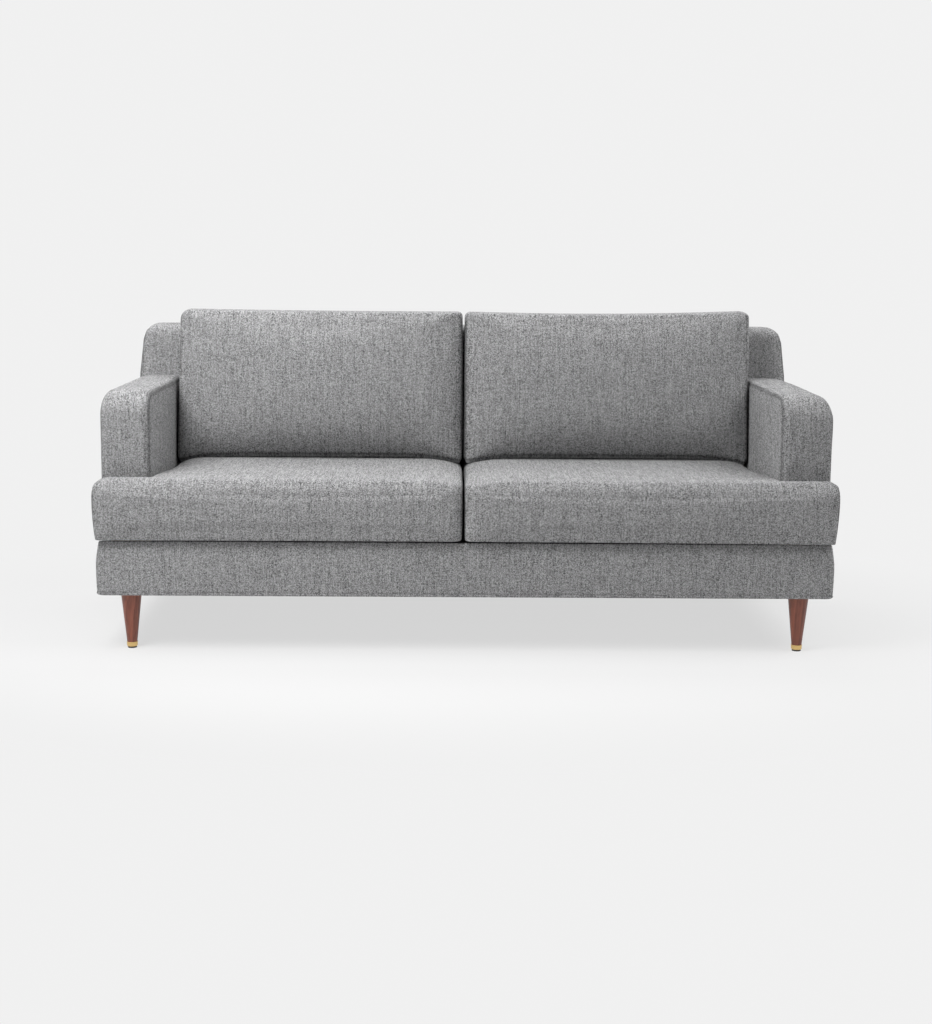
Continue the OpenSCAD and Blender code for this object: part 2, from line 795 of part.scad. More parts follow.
module seat_form() {
    polyhedron(
        points = [for (k = [0:boxing_rows], j = [0:len(seat_ys) - 1], i = [0:len(seat_xs) - 1])
            seat_point(i, j, k)],
        faces = skin_faces(seat_cells));
}

// The T-shaped foam core, or the space for it when it grows
module seat_core_form(grow) {
    translate([0, 0, core_low - grow]) linear_extrude(core_high - core_low + 2 * grow) polygon([
        [seat_gap / 2 + core_wall - grow, front_y + core_wall + seat_swell - grow],
        [ear_x - core_wall - seat_swell + grow, front_y + core_wall + seat_swell - grow],
        [ear_x - core_wall - seat_swell + grow, ear_rear - core_wall + grow],
        [body_x - core_wall + grow, ear_rear - core_wall + grow],
        [body_x - core_wall + grow, seat_rear - core_wall + grow],
        [seat_gap / 2 + core_wall - grow, seat_rear - core_wall + grow]]);
}

module seat_core_right() { color(core_cream) seat_core_form(0); }

module seat_cover_right() {
    color(cloth_grey) difference() {
        seat_form();
        seat_core_form(rest_gap);
        block([seat_mid_x - zip_l / 2, seat_rear - core_wall - cut_over, seat_zip_z - zip_w / 2],
            [seat_mid_x + zip_l / 2, seat_rear + cut_over, seat_zip_z + zip_w / 2]);
    }
}

module seat_zip_right() {
    color(dark_felt) block(
        [seat_mid_x - zip_l / 2, seat_rear - zip_sink - zip_t, seat_zip_z - zip_w / 2],
        [seat_mid_x + zip_l / 2, seat_rear - zip_sink, seat_zip_z + zip_w / 2]);
}

// A zip's slider with its tab, whose tape lies under it
module zip_pull() {
    color(steel) {
        block([-pull_l / 2, -pull_w / 2, 0], [pull_l / 2, pull_w / 2, pull_t]);
        block([pull_l / 2 - cut_over, -pull_tab_w / 2, pull_t - pull_tab_t],
            [pull_l / 2 + pull_tab_l, pull_tab_w / 2, pull_t]);
    }
}

module seat_zip_pull_right() {
    translate([seat_mid_x - zip_l / 2 + pull_l, seat_rear - zip_sink + zip_clear, seat_zip_z])
        rotate([-90, 0, 0]) zip_pull();
}

module seat_cover_left() { other_side() seat_cover_right(); }
module seat_core_left() { other_side() seat_core_right(); }
module seat_zip_left() { other_side() seat_zip_right(); }
module seat_zip_pull_left() { other_side() seat_zip_pull_right(); }

// Back cushions: X across, Y up and Z out of the back, then laid against the back's lean

pillow_near_x = seat_gap / 2 + pillow_swell;
pillow_far_x = pillow_x - pillow_swell;
pillow_high = pillow_h - pillow_swell;
pillow_xs = grid_lines(pillow_near_x, pillow_far_x, roll_w, pillow_columns);
pillow_ys = grid_lines(0, pillow_high, roll_w, pillow_rows);
pillow_cells = [for (j = [0:len(pillow_ys) - 2]) [for (i = [0:len(pillow_xs) - 2]) true]];

function pillow_rise(i, j) =
    let (a = abs(2 * (pillow_xs[i] - pillow_near_x) / (pillow_far_x - pillow_near_x) - 1),
        y = pillow_ys[j], peak = pillow_high * pillow_peak_share,
        b = y < peak ? (peak - y) / peak : (y - peak) / (pillow_high - peak))
    pillow_crown * (1 - pow(a, 3)) * (1 - pow(b, 3));

function pillow_local(i, j, k) =
    let (q = swell_share(k), slack = 1 - q, last_i = len(pillow_xs) - 1, last_j = len(pillow_ys) - 1,
        x = pillow_xs[i], y = pillow_ys[j], s = (x - pillow_near_x) / (pillow_far_x - pillow_near_x),
        px = i == 0 ? x - pillow_swell * q : i == last_i ? x + pillow_swell * q : x,
        py = j == last_j ? y + pillow_swell * q : y,
        wide = corner_r - pillow_swell * slack,
        near = seat_gap / 2 + corner_r, far = pillow_x - corner_r, high = pillow_h - corner_r,
        a = bend([px, py], [near, corner_r], [-1, -1], wide, corner_r),
        b = bend(a, [far, corner_r], [1, -1], wide, corner_r),
        c = bend(b, [far, high], [1, 1], wide, wide),
        d = bend(c, [near, high], [-1, 1], wide, wide),
        edge = min(x - pillow_near_x, pillow_far_x - x, y, pillow_high - y),
        rolled = roll_share(edge, roll_w),
        pull = pillow_pull * slack * (1 - 2 * s) * sin(180 * min(1, y / pillow_high)),
        sag = pillow_sag * sin(180 * max(0, min(1, s))) * pow(d.y / pillow_h, 2),
        z = k == 0 ? pillow_rear_roll * (1 - rolled)
            : k == boxing_rows ? pillow_seam_t + pillow_roll * rolled + pillow_rise(i, j)
            : pillow_rear_roll + (pillow_seam_t - pillow_rear_roll) * k / boxing_rows)
    [d.x + pull, d.y - sag, z];

function pillow_point(i, j, k) =
    let (p = pillow_local(i, j, k), z = pillow_bottom + p.y)
    [p.x, back_front(z) - rest_gap - p.z, z];

module pillow_form() {
    polyhedron(
        points = [for (k = [0:boxing_rows], j = [0:len(pillow_ys) - 1], i = [0:len(pillow_xs) - 1])
            pillow_point(i, j, k)],
        faces = skin_faces(pillow_cells));
}

module pillow_core_form(grow) {
    leaning_bar(seat_gap / 2 + core_wall - grow, pillow_x - core_wall + grow,
        -rest_gap - pillow_seam_t + pillow_roll - grow, -rest_gap - core_wall + grow,
        pillow_bottom + core_wall - grow, pillow_bottom + pillow_high - core_wall - pillow_sag + grow);
}

module back_core_right() { color(core_cream) pillow_core_form(0); }

module back_cushion_right() {
    color(cloth_grey) difference() {
        pillow_form();
        pillow_core_form(rest_gap);
        block([pillow_mid_x - zip_l / 2, pillow_zip_y - zip_w / 2, pillow_bottom - cut_over],
            [pillow_mid_x + zip_l / 2, pillow_zip_y + zip_w / 2, pillow_bottom + core_wall + cut_over]);
    }
}

module back_zip_right() {
    color(dark_felt) block(
        [pillow_mid_x - zip_l / 2, pillow_zip_y - zip_w / 2, pillow_bottom + zip_sink],
        [pillow_mid_x + zip_l / 2, pillow_zip_y + zip_w / 2, pillow_bottom + zip_sink + zip_t]);
}

module back_zip_pull_right() {
    translate([pillow_mid_x - zip_l / 2 + pull_l, pillow_zip_y, pillow_bottom + zip_sink - zip_clear])
        rotate([180, 0, 0]) zip_pull();
}

module back_cushion_left() { other_side() back_cushion_right(); }
module back_core_left() { other_side() back_core_right(); }
module back_zip_left() { other_side() back_zip_right(); }
module back_zip_pull_left() { other_side() back_zip_pull_right(); }

front_rail();
back_rail();
side_rail_left();
side_rail_right();
centre_rail();
corner_blocks();
arm_post_left();
arm_post_right();
arm_top_rail_left();
arm_top_rail_right();
arm_panels_left();
arm_panels_right();
back_stile_left();
back_stile_right();
back_stile_centre();
back_top_rail();
back_tack_rail();
seat_springs_left();
seat_springs_right();
spring_clips();
seat_deck();
back_webbing();
base_border();
arm_cover_left();
arm_cover_right();
back_cover();
dust_cover();
seat_cover_left();
seat_cover_right();
seat_core_left();
seat_core_right();
back_cushion_left();
back_cushion_right();
back_core_left();
back_core_right();
seat_zip_left();
seat_zip_right();
back_zip_left();
back_zip_right();
seat_zip_pull_left();
seat_zip_pull_right();
back_zip_pull_left();
back_zip_pull_right();
leg_front_left();
leg_front_right();
leg_back_left();
leg_back_right();
ferrule_front_left();
ferrule_front_right();
ferrule_back_left();
ferrule_back_right();
glide_front_left();
glide_front_right();
glide_back_left();
glide_back_right();
leg_plates();
leg_plate_screws();
leg_bolts();
frame_screws();
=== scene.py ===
import json
import math
import bmesh
import bpy
import numpy as np
from mathutils import Matrix, Vector


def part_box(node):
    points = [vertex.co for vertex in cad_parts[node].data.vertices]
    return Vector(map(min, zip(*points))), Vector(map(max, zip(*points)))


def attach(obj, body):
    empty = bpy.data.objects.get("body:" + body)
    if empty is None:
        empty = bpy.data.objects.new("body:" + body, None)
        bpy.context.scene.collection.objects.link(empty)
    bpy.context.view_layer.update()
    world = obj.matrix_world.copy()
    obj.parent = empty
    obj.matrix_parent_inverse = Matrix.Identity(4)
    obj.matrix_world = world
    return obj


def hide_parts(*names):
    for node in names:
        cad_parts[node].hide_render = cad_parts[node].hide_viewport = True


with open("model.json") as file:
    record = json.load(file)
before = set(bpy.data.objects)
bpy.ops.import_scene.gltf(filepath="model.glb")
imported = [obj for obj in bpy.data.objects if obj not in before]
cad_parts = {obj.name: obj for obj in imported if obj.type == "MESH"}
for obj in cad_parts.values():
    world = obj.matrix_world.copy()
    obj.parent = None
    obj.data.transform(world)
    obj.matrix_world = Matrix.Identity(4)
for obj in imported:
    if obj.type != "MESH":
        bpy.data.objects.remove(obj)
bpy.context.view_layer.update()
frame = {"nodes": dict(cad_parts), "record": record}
nodes = frame["nodes"]
sides = {"right": 1, "left": -1}

# Places that several pieces share, read from the solids that carry the cloth
lean = math.tan(math.radians(6))
backLow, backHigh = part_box("back_cover")
armLow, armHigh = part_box("arm_cover_right")
seatLow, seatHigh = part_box("seat_cover_right")
pillowLow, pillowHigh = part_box("back_cushion_right")
baseLow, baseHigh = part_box("base_border")
seatZipLow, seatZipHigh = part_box("seat_zip_right")
backZipLow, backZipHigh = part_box("back_zip_right")
restGap = 0.0004


def backFront(z):
    return backLow.y + (z - backLow.z) * lean


def addObject(name, data):
    made = bpy.data.objects.new(name, data)
    bpy.context.scene.collection.objects.link(made)
    return made


# Camera: the picture is 932 x 1024, and the sensor's long side is its height
photo = {"width": 932, "height": 1024, "focalPx": 1585.9, "centreX": 447.9, "centreY": 474.9,
         "place": (-0.0899, -4.3682, 1.0090), "yaw": -0.60, "pitch": 7.88, "roll": 0.44, "sensor": 36}


def addCamera():
    yaw, pitch, roll = (math.radians(photo[k]) for k in ("yaw", "pitch", "roll"))
    ahead = Vector((-math.sin(yaw) * math.cos(pitch), math.cos(yaw) * math.cos(pitch), -math.sin(pitch)))
    level = Vector((math.cos(yaw), math.sin(yaw), 0))
    raised = level.cross(ahead)
    right = level * math.cos(roll) + raised * math.sin(roll)
    up = raised * math.cos(roll) - level * math.sin(roll)
    data = bpy.data.cameras.new("camera")
    data.sensor_width = photo["sensor"]
    data.lens = photo["focalPx"] * photo["sensor"] / photo["height"]
    data.shift_x = (photo["width"] / 2 - photo["centreX"]) / photo["height"]
    data.shift_y = (photo["centreY"] - photo["height"] / 2) / photo["height"]
    camera = addObject("camera", data)
    camera.matrix_world = Matrix((right, up, -ahead)).transposed().to_4x4()
    camera.location = photo["place"]
    bpy.context.scene.camera = camera


# Short calls for shader trees
class Tree:
    def __init__(self, tree):
        self.tree = tree

    def add(self, kind, **values):
        node = self.tree.nodes.new(kind)
        for name, value in values.items():
            setattr(node, name, value)
        return node

    def put(self, socket, value):
        if isinstance(value, bpy.types.NodeSocket):
            self.tree.links.new(value, socket)
        elif isinstance(value, tuple) and len(value) == 3 and socket.type == "RGBA":
            socket.default_value = (*value, 1)
        else:
            socket.default_value = value

    def fill(self, node, values):
        for name, value in values.items():
            self.put(node.inputs[name], value)

    def feed(self, node, *values):
        for socket, value in zip(node.inputs, values):
            self.put(socket, value)
        return node.outputs[0]

    def sum(self, operation, *values):
        return self.feed(self.add("ShaderNodeMath", operation=operation), *values)

    def move(self, operation, *values):
        return self.feed(self.add("ShaderNodeVectorMath", operation=operation), *values)

    def ramp(self, value, stops):
        node = self.add("ShaderNodeValToRGB")
        while len(node.color_ramp.elements) < len(stops):
            node.color_ramp.elements.new(0.5)
        for element, (place, level) in zip(node.color_ramp.elements, stops):
            element.position = place
            element.color = (level, level, level, 1)
        self.put(node.inputs[0], value)
        return node.outputs[0]

    def noise(self, vector, scale, detail=2.0, roughness=0.5):
        node = self.add("ShaderNodeTexNoise", noise_dimensions="3D")
        self.fill(node, {"Vector": vector, "Scale": scale, "Detail": detail, "Roughness": roughness})
        return node.outputs["Fac"]

    def split(self, vector):
        node = self.add("ShaderNodeSeparateXYZ")
        self.feed(node, vector)
        return node.outputs

    def join(self, *values):
        return self.feed(self.add("ShaderNodeCombineXYZ"), *values)

    def mixShaders(self, factor, first, second):
        node = self.add("ShaderNodeMixShader")
        self.fill(node, {0: factor, 2: second})
        if first is not None:
            self.put(node.inputs[1], first)
        return node.outputs[0]

    def seenRays(self):
        path = self.add("ShaderNodeLightPath").outputs
        return self.sum("MAXIMUM", path["Is Camera Ray"], path["Is Glossy Ray"])

    def distance(self, vector):
        node = self.add("ShaderNodeVectorMath", operation="LENGTH")
        self.put(node.inputs[0], vector)
        return node.outputs["Value"]

    def fade(self, value, start, end, first=0.0, last=1.0):
        node = self.add("ShaderNodeMapRange", interpolation_type="SMOOTHSTEP")
        return self.feed(node, value, start, end, first, last)

    def cells(self, vector):
        node = self.add("ShaderNodeTexWhiteNoise", noise_dimensions="2D")
        self.put(node.inputs["Vector"], vector)
        return node.outputs["Value"]

    def mix(self, factor, first, second, blend="MIX"):
        node = self.add("ShaderNodeMix", data_type="RGBA", blend_type=blend)
        self.fill(node, {0: factor, 6: first, 7: second})
        return node.outputs[2]

    def stretch(self, vector, scale):
        node = self.add("ShaderNodeMapping")
        self.put(node.inputs["Vector"], vector)
        node.inputs["Scale"].default_value = scale
        return node.outputs[0]


def startGroup(name, inputs, outputs):
    group = bpy.data.node_groups.new(name, "ShaderNodeTree")
    for label, value in inputs.items():
        kind = "NodeSocketVector" if value is None else "NodeSocketFloat"
        socket = group.interface.new_socket(label, in_out="INPUT", socket_type=kind)
        if value is not None:
            socket.default_value = value
    for label in outputs:
        group.interface.new_socket(label, in_out="OUTPUT", socket_type="NodeSocketFloat")
    tree = Tree(group)
    return group, tree, tree.add("NodeGroupInput").outputs, tree.add("NodeGroupOutput").inputs


def startMaterial(name):
    material = bpy.data.materials.new(name)
    material.use_nodes = True
    tree = Tree(material.node_tree)
    place = tree.add("ShaderNodeTexCoord").outputs["Object"]
    return material, tree, material.node_tree.nodes["Principled BSDF"], place


def useGroup(tree, group, **values):
    node = tree.add("ShaderNodeGroup", node_tree=group)
    tree.fill(node, values)
    return node.outputs


def bump(tree, shader, height, strength, distance):
    node = tree.add("ShaderNodeBump")
    tree.fill(node, {"Strength": strength, "Distance": distance, "Height": height})
    tree.put(shader.inputs["Normal"], node.outputs[0])


# Shared effects, each one group
yarns = {"shades": [(0.0, 0.0), (0.12, 0.06), (0.30, 0.42), (0.70, 0.58), (0.88, 0.94), (1.0, 1.0)],
         "warpRun": 24.0, "weftRun": 9.0, "reliefShade": 0.3, "hollowShade": 0.82, "darkest": 0.05, "fleckHeight": 0.3}


def makeWeaveGroup():
    inputs = {"Vector": None, "Pitch": 0.0021, "Fleck": 0.5, "Streak": 0.3, "Cross": 0.4}
    group, t, given, out = startGroup("heatherWeave", inputs, ("Level", "Height"))
    place = t.add("ShaderNodeVectorMath", operation="SCALE")
    t.put(place.inputs[0], given["Vector"])
    t.put(place.inputs["Scale"], t.sum("DIVIDE", 1.0, given["Pitch"]))
    cell = t.move("FLOOR", place.outputs[0])
    within = t.split(t.move("FRACTION", place.outputs[0]))
    which = t.split(cell)

    def wave(axis, turns):
        return t.sum("SINE", t.sum("MULTIPLY", within[axis], turns * math.pi))

    def yarn(axis, other):
        threads = t.sum("ABSOLUTE", wave(axis, 2))
        return t.sum("MULTIPLY", t.sum("MULTIPLY_ADD", threads, 0.5, 0.5), wave(other, 1))

    # A yarn keeps a shade of its own for a while along its run
    def runs(first, second, length):
        shifted = t.sum("MULTIPLY_ADD", which[second], 1 / length, t.cells(t.join(which[first])))
        return t.sum("MULTIPLY_ADD", t.cells(t.join(which[first], t.sum("FLOOR", shifted))), 2.0, -1.0)

    # A basket weave: two threads pass over two, turn about
    parity = t.sum("FLOORED_MODULO", t.sum("ADD", which[0], which[1]), 2.0)
    warp, weft = yarn(0, 1), yarn(1, 0)
    height = t.sum("MULTIPLY_ADD", t.sum("SUBTRACT", warp, weft), parity, weft)
    # Every crossing has its own shade
    fleck = t.ramp(t.cells(cell), yarns["shades"])
    streak = t.sum("MULTIPLY_ADD", runs(1, 0, yarns["weftRun"]), given["Cross"], runs(0, 1, yarns["warpRun"]))
    level = t.sum("ADD", 1.0, t.sum("MULTIPLY", t.sum("MULTIPLY_ADD", fleck, 2.0, -1.0), given["Fleck"]))
    level = t.sum("ADD", level, t.sum("MULTIPLY", streak, given["Streak"]))
    # Painted shade in the weave: the colour is darker in the hollows between the yarns and lighter on their
    # crowns, by the weave's height
    level = t.sum("MULTIPLY", level, t.sum("MULTIPLY_ADD", height, yarns["reliefShade"], yarns["hollowShade"]))
    t.put(out["Level"], t.sum("MAXIMUM", level, yarns["darkest"]))
    t.put(out["Height"], t.sum("MULTIPLY_ADD", fleck, yarns["fleckHeight"], height))
    return group


timber = {"wander": (18.0, 3.0, 0.6), "slope": 0.6, "bend": 3.2, "fibre": (260, 260, 90),
          "fibreNoise": (1.0, 3.0, 0.7), "fibreShare": 0.6, "ringShare": 0.45,
          "ring": [(0.0, 0.15), (0.55, 0.55), (0.86, 0.95), (1.0, 0.15)],
          "pores": [(0.0, 0.0), (0.36, 0.1), (0.46, 1.0), (1.0, 1.0)]}


def makeGrainGroup():
    inputs = {"Vector": None, "Rings": 60.0, "Along": 0.06}
    group, t, given, out = startGroup("woodGrain", inputs, ("Grain", "Pores"))
    x, y, z = t.split(given["Vector"])
    squeezed = t.join(x, y, t.sum("MULTIPLY", z, given["Along"]))
    wander = t.noise(squeezed, *timber["wander"])
    across = t.sum("MULTIPLY_ADD", y, timber["slope"], x)
    ring = t.sum("MULTIPLY_ADD", wander, timber["bend"], t.sum("MULTIPLY", across, given["Rings"]))
    soft = t.sum("MULTIPLY", t.ramp(t.sum("FRACT", ring), timber["ring"]), timber["ringShare"])
    streaks = t.noise(t.stretch(squeezed, timber["fibre"]), *timber["fibreNoise"])
    t.put(out["Grain"], t.sum("MULTIPLY_ADD", streaks, timber["fibreShare"], soft))
    t.put(out["Pores"], t.ramp(streaks, timber["pores"]))
    return group


specking = {"size": 1400.0, "shades": [(0.4, 0.0), (0.7, 1.0)]}


def makeWearGroup():
    group, t, given, out = startGroup("surfaceWear", {"Vector": None, "Size": 30.0}, ("Patch", "Speck"))
    specks = t.noise(given["Vector"], specking["size"], 2.0, 0.6)
    t.put(out["Patch"], t.noise(given["Vector"], given["Size"], 4.0, 0.6))
    t.put(out["Speck"], t.ramp(specks, specking["shades"]))
    return group


weaveGroup = makeWeaveGroup()
grainGroup = makeGrainGroup()
wearGroup = makeWearGroup()


# Cloths: yarn pitch in metres, colours as they are, and the plane of the weave on a carried-over solid
cloths = {
    "upholstery": {"colour": (0.272, 0.272, 0.275), "pitch": 0.0020, "fleck": 0.57, "streak": 0.16,
                   "bump": 0.5, "depth": 0.0006, "roughness": 0.92, "sheen": 0.10, "plane": None},
    "deckCloth": {"colour": (0.060, 0.060, 0.062), "pitch": 0.0012, "fleck": 0.15, "streak": 0.12,
                  "bump": 0.4, "depth": 0.0003, "roughness": 0.95, "sheen": 0.05, "plane": None},
    "webbing": {"colour": (0.035, 0.033, 0.032), "pitch": 0.0030, "fleck": 0.25, "streak": 0.4,
                "bump": 0.7, "depth": 0.0008, "roughness": 0.8, "sheen": 0.0, "plane": "XY"},
    "zipTape": {"colour": (0.045, 0.045, 0.047), "pitch": 0.0010, "fleck": 0.1, "streak": 0.2,
                "bump": 0.5, "depth": 0.0002, "roughness": 0.8, "sheen": 0.0, "plane": "XZ"},
}


clothLook = {"slant": 0.6, "patchSize": 9.0, "patch": 0.10, "unworn": 0.95, "seamShade": 0.45, "specular": 0.2,
             "sheenRoughness": 0.4}


def makeCloth(name):
    look = cloths[name]
    material, t, shader, place = startMaterial(name)
    if look["plane"]:
        parts = t.split(place)
        weave = t.join(*(parts["XYZ".index(axis)] for axis in look["plane"]))
    else:
        weave = t.add("ShaderNodeUVMap", uv_map="weave").outputs[0]
    # Tops and sides are mostly seen aslant, which blurs the yarns, so their contrast is higher
    facing = t.split(t.add("ShaderNodeNewGeometry").outputs["Normal"])
    ahead = t.sum("ABSOLUTE", facing[1])
    slant = t.sum("MULTIPLY_ADD", ahead, -clothLook["slant"], 1 + clothLook["slant"])
    fleck, streak = (t.sum("MULTIPLY", slant, look[kind]) for kind in ("fleck", "streak"))
    made = useGroup(t, weaveGroup, Vector=weave, Pitch=look["pitch"], Fleck=fleck, Streak=streak)
    # Painted shade along the seams: near each seam the seam attribute darkens the cloth colour, standing in
    # for the shade in the seam creases
    seam = t.add("ShaderNodeAttribute", attribute_name="seam").outputs["Fac"]
    wear = useGroup(t, wearGroup, Vector=place, Size=clothLook["patchSize"])
    worn = t.sum("MULTIPLY_ADD", wear["Patch"], clothLook["patch"], clothLook["unworn"])
    seamShaded = t.sum("MULTIPLY_ADD", seam, -clothLook["seamShade"], 1.0)
    level = t.sum("MULTIPLY", t.sum("MULTIPLY", made["Level"], worn), seamShaded)
    t.fill(shader, {"Base Color": t.mix(1.0, look["colour"], level, "MULTIPLY"),
                    "Roughness": look["roughness"], "Specular IOR Level": clothLook["specular"],
                    "Sheen Weight": look["sheen"], "Sheen Roughness": clothLook["sheenRoughness"]})
    bump(t, shader, made["Height"], look["bump"], look["depth"])
    return material


woods = {
    "legWalnut": {"dark": (0.075, 0.017, 0.010), "light": (0.330, 0.094, 0.050), "rings": 70.0, "along": 0.10,
                  "roughness": 0.36, "coat": 0.15},
    "frameBirch": {"dark": (0.42, 0.27, 0.14), "light": (0.70, 0.53, 0.34), "rings": 40.0, "along": 0.25,
                   "roughness": 0.6, "coat": 0.0},
}


woodLook = {"poreDark": 0.35, "poreShine": 0.12, "coatRoughness": 0.25, "bump": 0.25, "depth": 0.0003}


def makeWood(name):
    look = woods[name]
    material, t, shader, place = startMaterial(name)
    made = useGroup(t, grainGroup, Vector=place, Rings=look["rings"], Along=look["along"])
    colour = t.mix(made["Grain"], look["dark"], look["light"])
    pores, shine = woodLook["poreDark"], woodLook["poreShine"]
    colour = t.mix(t.sum("MULTIPLY_ADD", made["Pores"], -pores, pores), colour, look["dark"])
    dull = t.sum("MULTIPLY_ADD", made["Pores"], -shine, look["roughness"] + shine)
    t.fill(shader, {"Base Color": colour, "Roughness": dull, "Coat Weight": look["coat"],
                    "Coat Roughness": woodLook["coatRoughness"]})
    bump(t, shader, made["Pores"], woodLook["bump"], woodLook["depth"])
    return material


metals = {
    "ferruleBrass": {"colour": (0.80, 0.56, 0.24), "roughness": 0.26, "lines": (20, 20, 2600)},
    "springSteel": {"colour": (0.30, 0.30, 0.31), "roughness": 0.42, "lines": (60, 60, 60)},
    "fastenerSteel": {"colour": (0.56, 0.55, 0.50), "roughness": 0.36, "lines": (300, 300, 60)},
    "zipMetal": {"colour": (0.24, 0.23, 0.22), "roughness": 0.35, "lines": (200, 900, 200)},
}


metalLook = {"patchSize": 45.0, "worn": 0.5, "dark": 0.6, "lineDepth": 0.22, "lineBase": 0.08, "bump": 0.15,
             "depth": 0.0001}


def makeMetal(name):
    look = metals[name]
    material, t, shader, place = startMaterial(name)
    wear = useGroup(t, wearGroup, Vector=place, Size=metalLook["patchSize"])
    lines = t.noise(t.stretch(place, look["lines"]), 1.0, 2.0, 0.6)
    dark = tuple(c * metalLook["dark"] for c in look["colour"])
    worn = t.sum("MULTIPLY", wear["Patch"], metalLook["worn"])
    dull = t.sum("MULTIPLY_ADD", lines, metalLook["lineDepth"], look["roughness"] - metalLook["lineBase"])
    t.fill(shader, {"Base Color": t.mix(worn, look["colour"], dark), "Roughness": dull, "Metallic": 1.0})
    bump(t, shader, lines, metalLook["bump"], metalLook["depth"])
    return material


# Plain goods: the size is that of their pits, per metre, which carry painted shade in their hollows
plains = {
    "foam": {"colour": (0.80, 0.72, 0.50), "grain": 900.0, "bump": 0.8, "depth": 0.0006, "roughness": 0.9},
    "hardboard": {"colour": (0.24, 0.13, 0.065), "grain": 1500.0, "bump": 0.3, "depth": 0.0002,
                  "roughness": 0.7},
    "dustCloth": {"colour": (0.018, 0.018, 0.019), "grain": 700.0, "bump": 0.6, "depth": 0.0004,
                  "roughness": 0.85},
    "glidePlastic": {"colour": (0.022, 0.020, 0.019), "grain": 2500.0, "bump": 0.2, "depth": 0.0001,
                     "roughness": 0.5},
}


plainLook = {"patchSize": 14.0, "pitShade": 0.35, "pitShadeBase": 0.75, "patch": 0.3, "unworn": 0.85, "speck": 0.1}


def makePlain(name):
    look = plains[name]
    material, t, shader, place = startMaterial(name)
    wear = useGroup(t, wearGroup, Vector=place, Size=plainLook["patchSize"])
    pits = t.add("ShaderNodeTexVoronoi")
    t.fill(pits, {"Vector": place, "Scale": look["grain"]})
    # Painted shade in the pits: the colour is darker towards the middle of each pit, where the bump is lowest
    pitShaded = t.sum("MULTIPLY_ADD", pits.outputs["Distance"], plainLook["pitShade"], plainLook["pitShadeBase"])
    worn = t.sum("MULTIPLY_ADD", wear["Patch"], plainLook["patch"], plainLook["unworn"])
    shade = t.sum("MULTIPLY", pitShaded, worn)
    t.fill(shader, {"Base Color": t.mix(1.0, look["colour"], shade, "MULTIPLY"),
                    "Roughness": t.sum("MULTIPLY_ADD", wear["Speck"], plainLook["speck"], look["roughness"])})
    bump(t, shader, pits.outputs["Distance"], look["bump"], look["depth"])
    return material


materials = {name: makeCloth(name) for name in cloths}
materials.update({name: makeWood(name) for name in woods})
materials.update({name: makeMetal(name) for name in metals})
materials.update({name: makePlain(name) for name in plains})
print("materials made:", len(materials))


# Cloth panels: a grid of points with its weave map and its distances from the seams
seamSteps = (0, 0.0012, 0.003, 0.0055, 0.009, 0.014, 0.020)


def spread(start, end, step, first=seamSteps, last=seamSteps):
    head = [start + s for s in first]
    tail = [end - s for s in reversed(last)]
    count = max(1, round((tail[0] - head[-1]) / step))
    middle = [head[-1] + (tail[0] - head[-1]) * n / count for n in range(1, count)]
    return np.array(head + middle + tail)


def roundDrop(distance, radius):
    reach = np.clip(distance, 0, radius)
    return radius - np.sqrt(radius ** 2 - (radius - reach) ** 2)


def runAlong(first, second):
    return np.pad(np.cumsum(np.hypot(np.diff(first), np.diff(second))), (1, 0))[None]


def bandForm(share, power, root):
    return (1 - np.abs(2 * share - 1) ** power) ** root


def arcLength(points, axis):
    steps = np.linalg.norm(np.diff(points, axis=axis), axis=2)
    pad = [(0, 0), (0, 0)]
    pad[axis] = (1, 0)
    return np.pad(np.cumsum(steps, axis=axis), pad)


def unit(value):
    return np.clip(value, 0, 1)


def ease(value):
    t = unit(value)
    return t * t * (3 - 2 * t)


def between(first, last, share):
    return first + (last - first) * share


def edgeDrop(distance, depth, width):
    return depth * (1 - np.sqrt(1 - (1 - unit(distance / width)) ** 2))


def loop(grid):
    return np.concatenate([grid[0, :-1], grid[:-1, -1], grid[-1, :0:-1], grid[::-1, 0]])[None]


def bendCorner(x, y, centre, way, radius):
    a = unit((x - centre[0]) * way[0] / radius)
    b = unit((y - centre[1]) * way[1] / radius)
    inside = (a > 0) & (b > 0)
    bentX = centre[0] + way[0] * radius * a * np.sqrt(1 - b * b / 2)
    bentY = centre[1] + way[1] * radius * b * np.sqrt(1 - a * a / 2)
    return np.where(inside, bentX, x), np.where(inside, bentY, y)


# A zip's slot in a cushion: lines of points follow its edges
zipSlot = {"length": 0.560, "halfWidth": 0.007, "lines": (-0.002, 0.0, 0.002), "slack": 0.001}


def slotLines():
    return [way * (zipSlot["halfWidth"] + line) for way in (-1, 1) for line in zipSlot["lines"]]


def panel(x, y, z, weave=None, seam=None):
    x, y, z = np.broadcast_arrays(x, y, z)
    points = np.stack([x, y, z], -1).astype(float)
    if weave is None:
        weave = (arcLength(points, 1), arcLength(points, 0))
    weave = np.stack(np.broadcast_arrays(*weave), -1)
    seam = np.full(x.shape, 1.0) if seam is None else np.broadcast_to(seam, x.shape)
    return points, weave, seam


def gridPanel(grid, weave=None, seam=None):
    return panel(*np.moveaxis(grid, -1, 0), weave, seam)


# Reach of the painted shade along the seams
seamShadeWidth = 0.0035
joinWithin = 0.00003


def closeMesh(work, mesh, material):
    work.to_mesh(mesh)
    work.free()
    mesh.materials.clear()
    mesh.materials.append(materials[material])


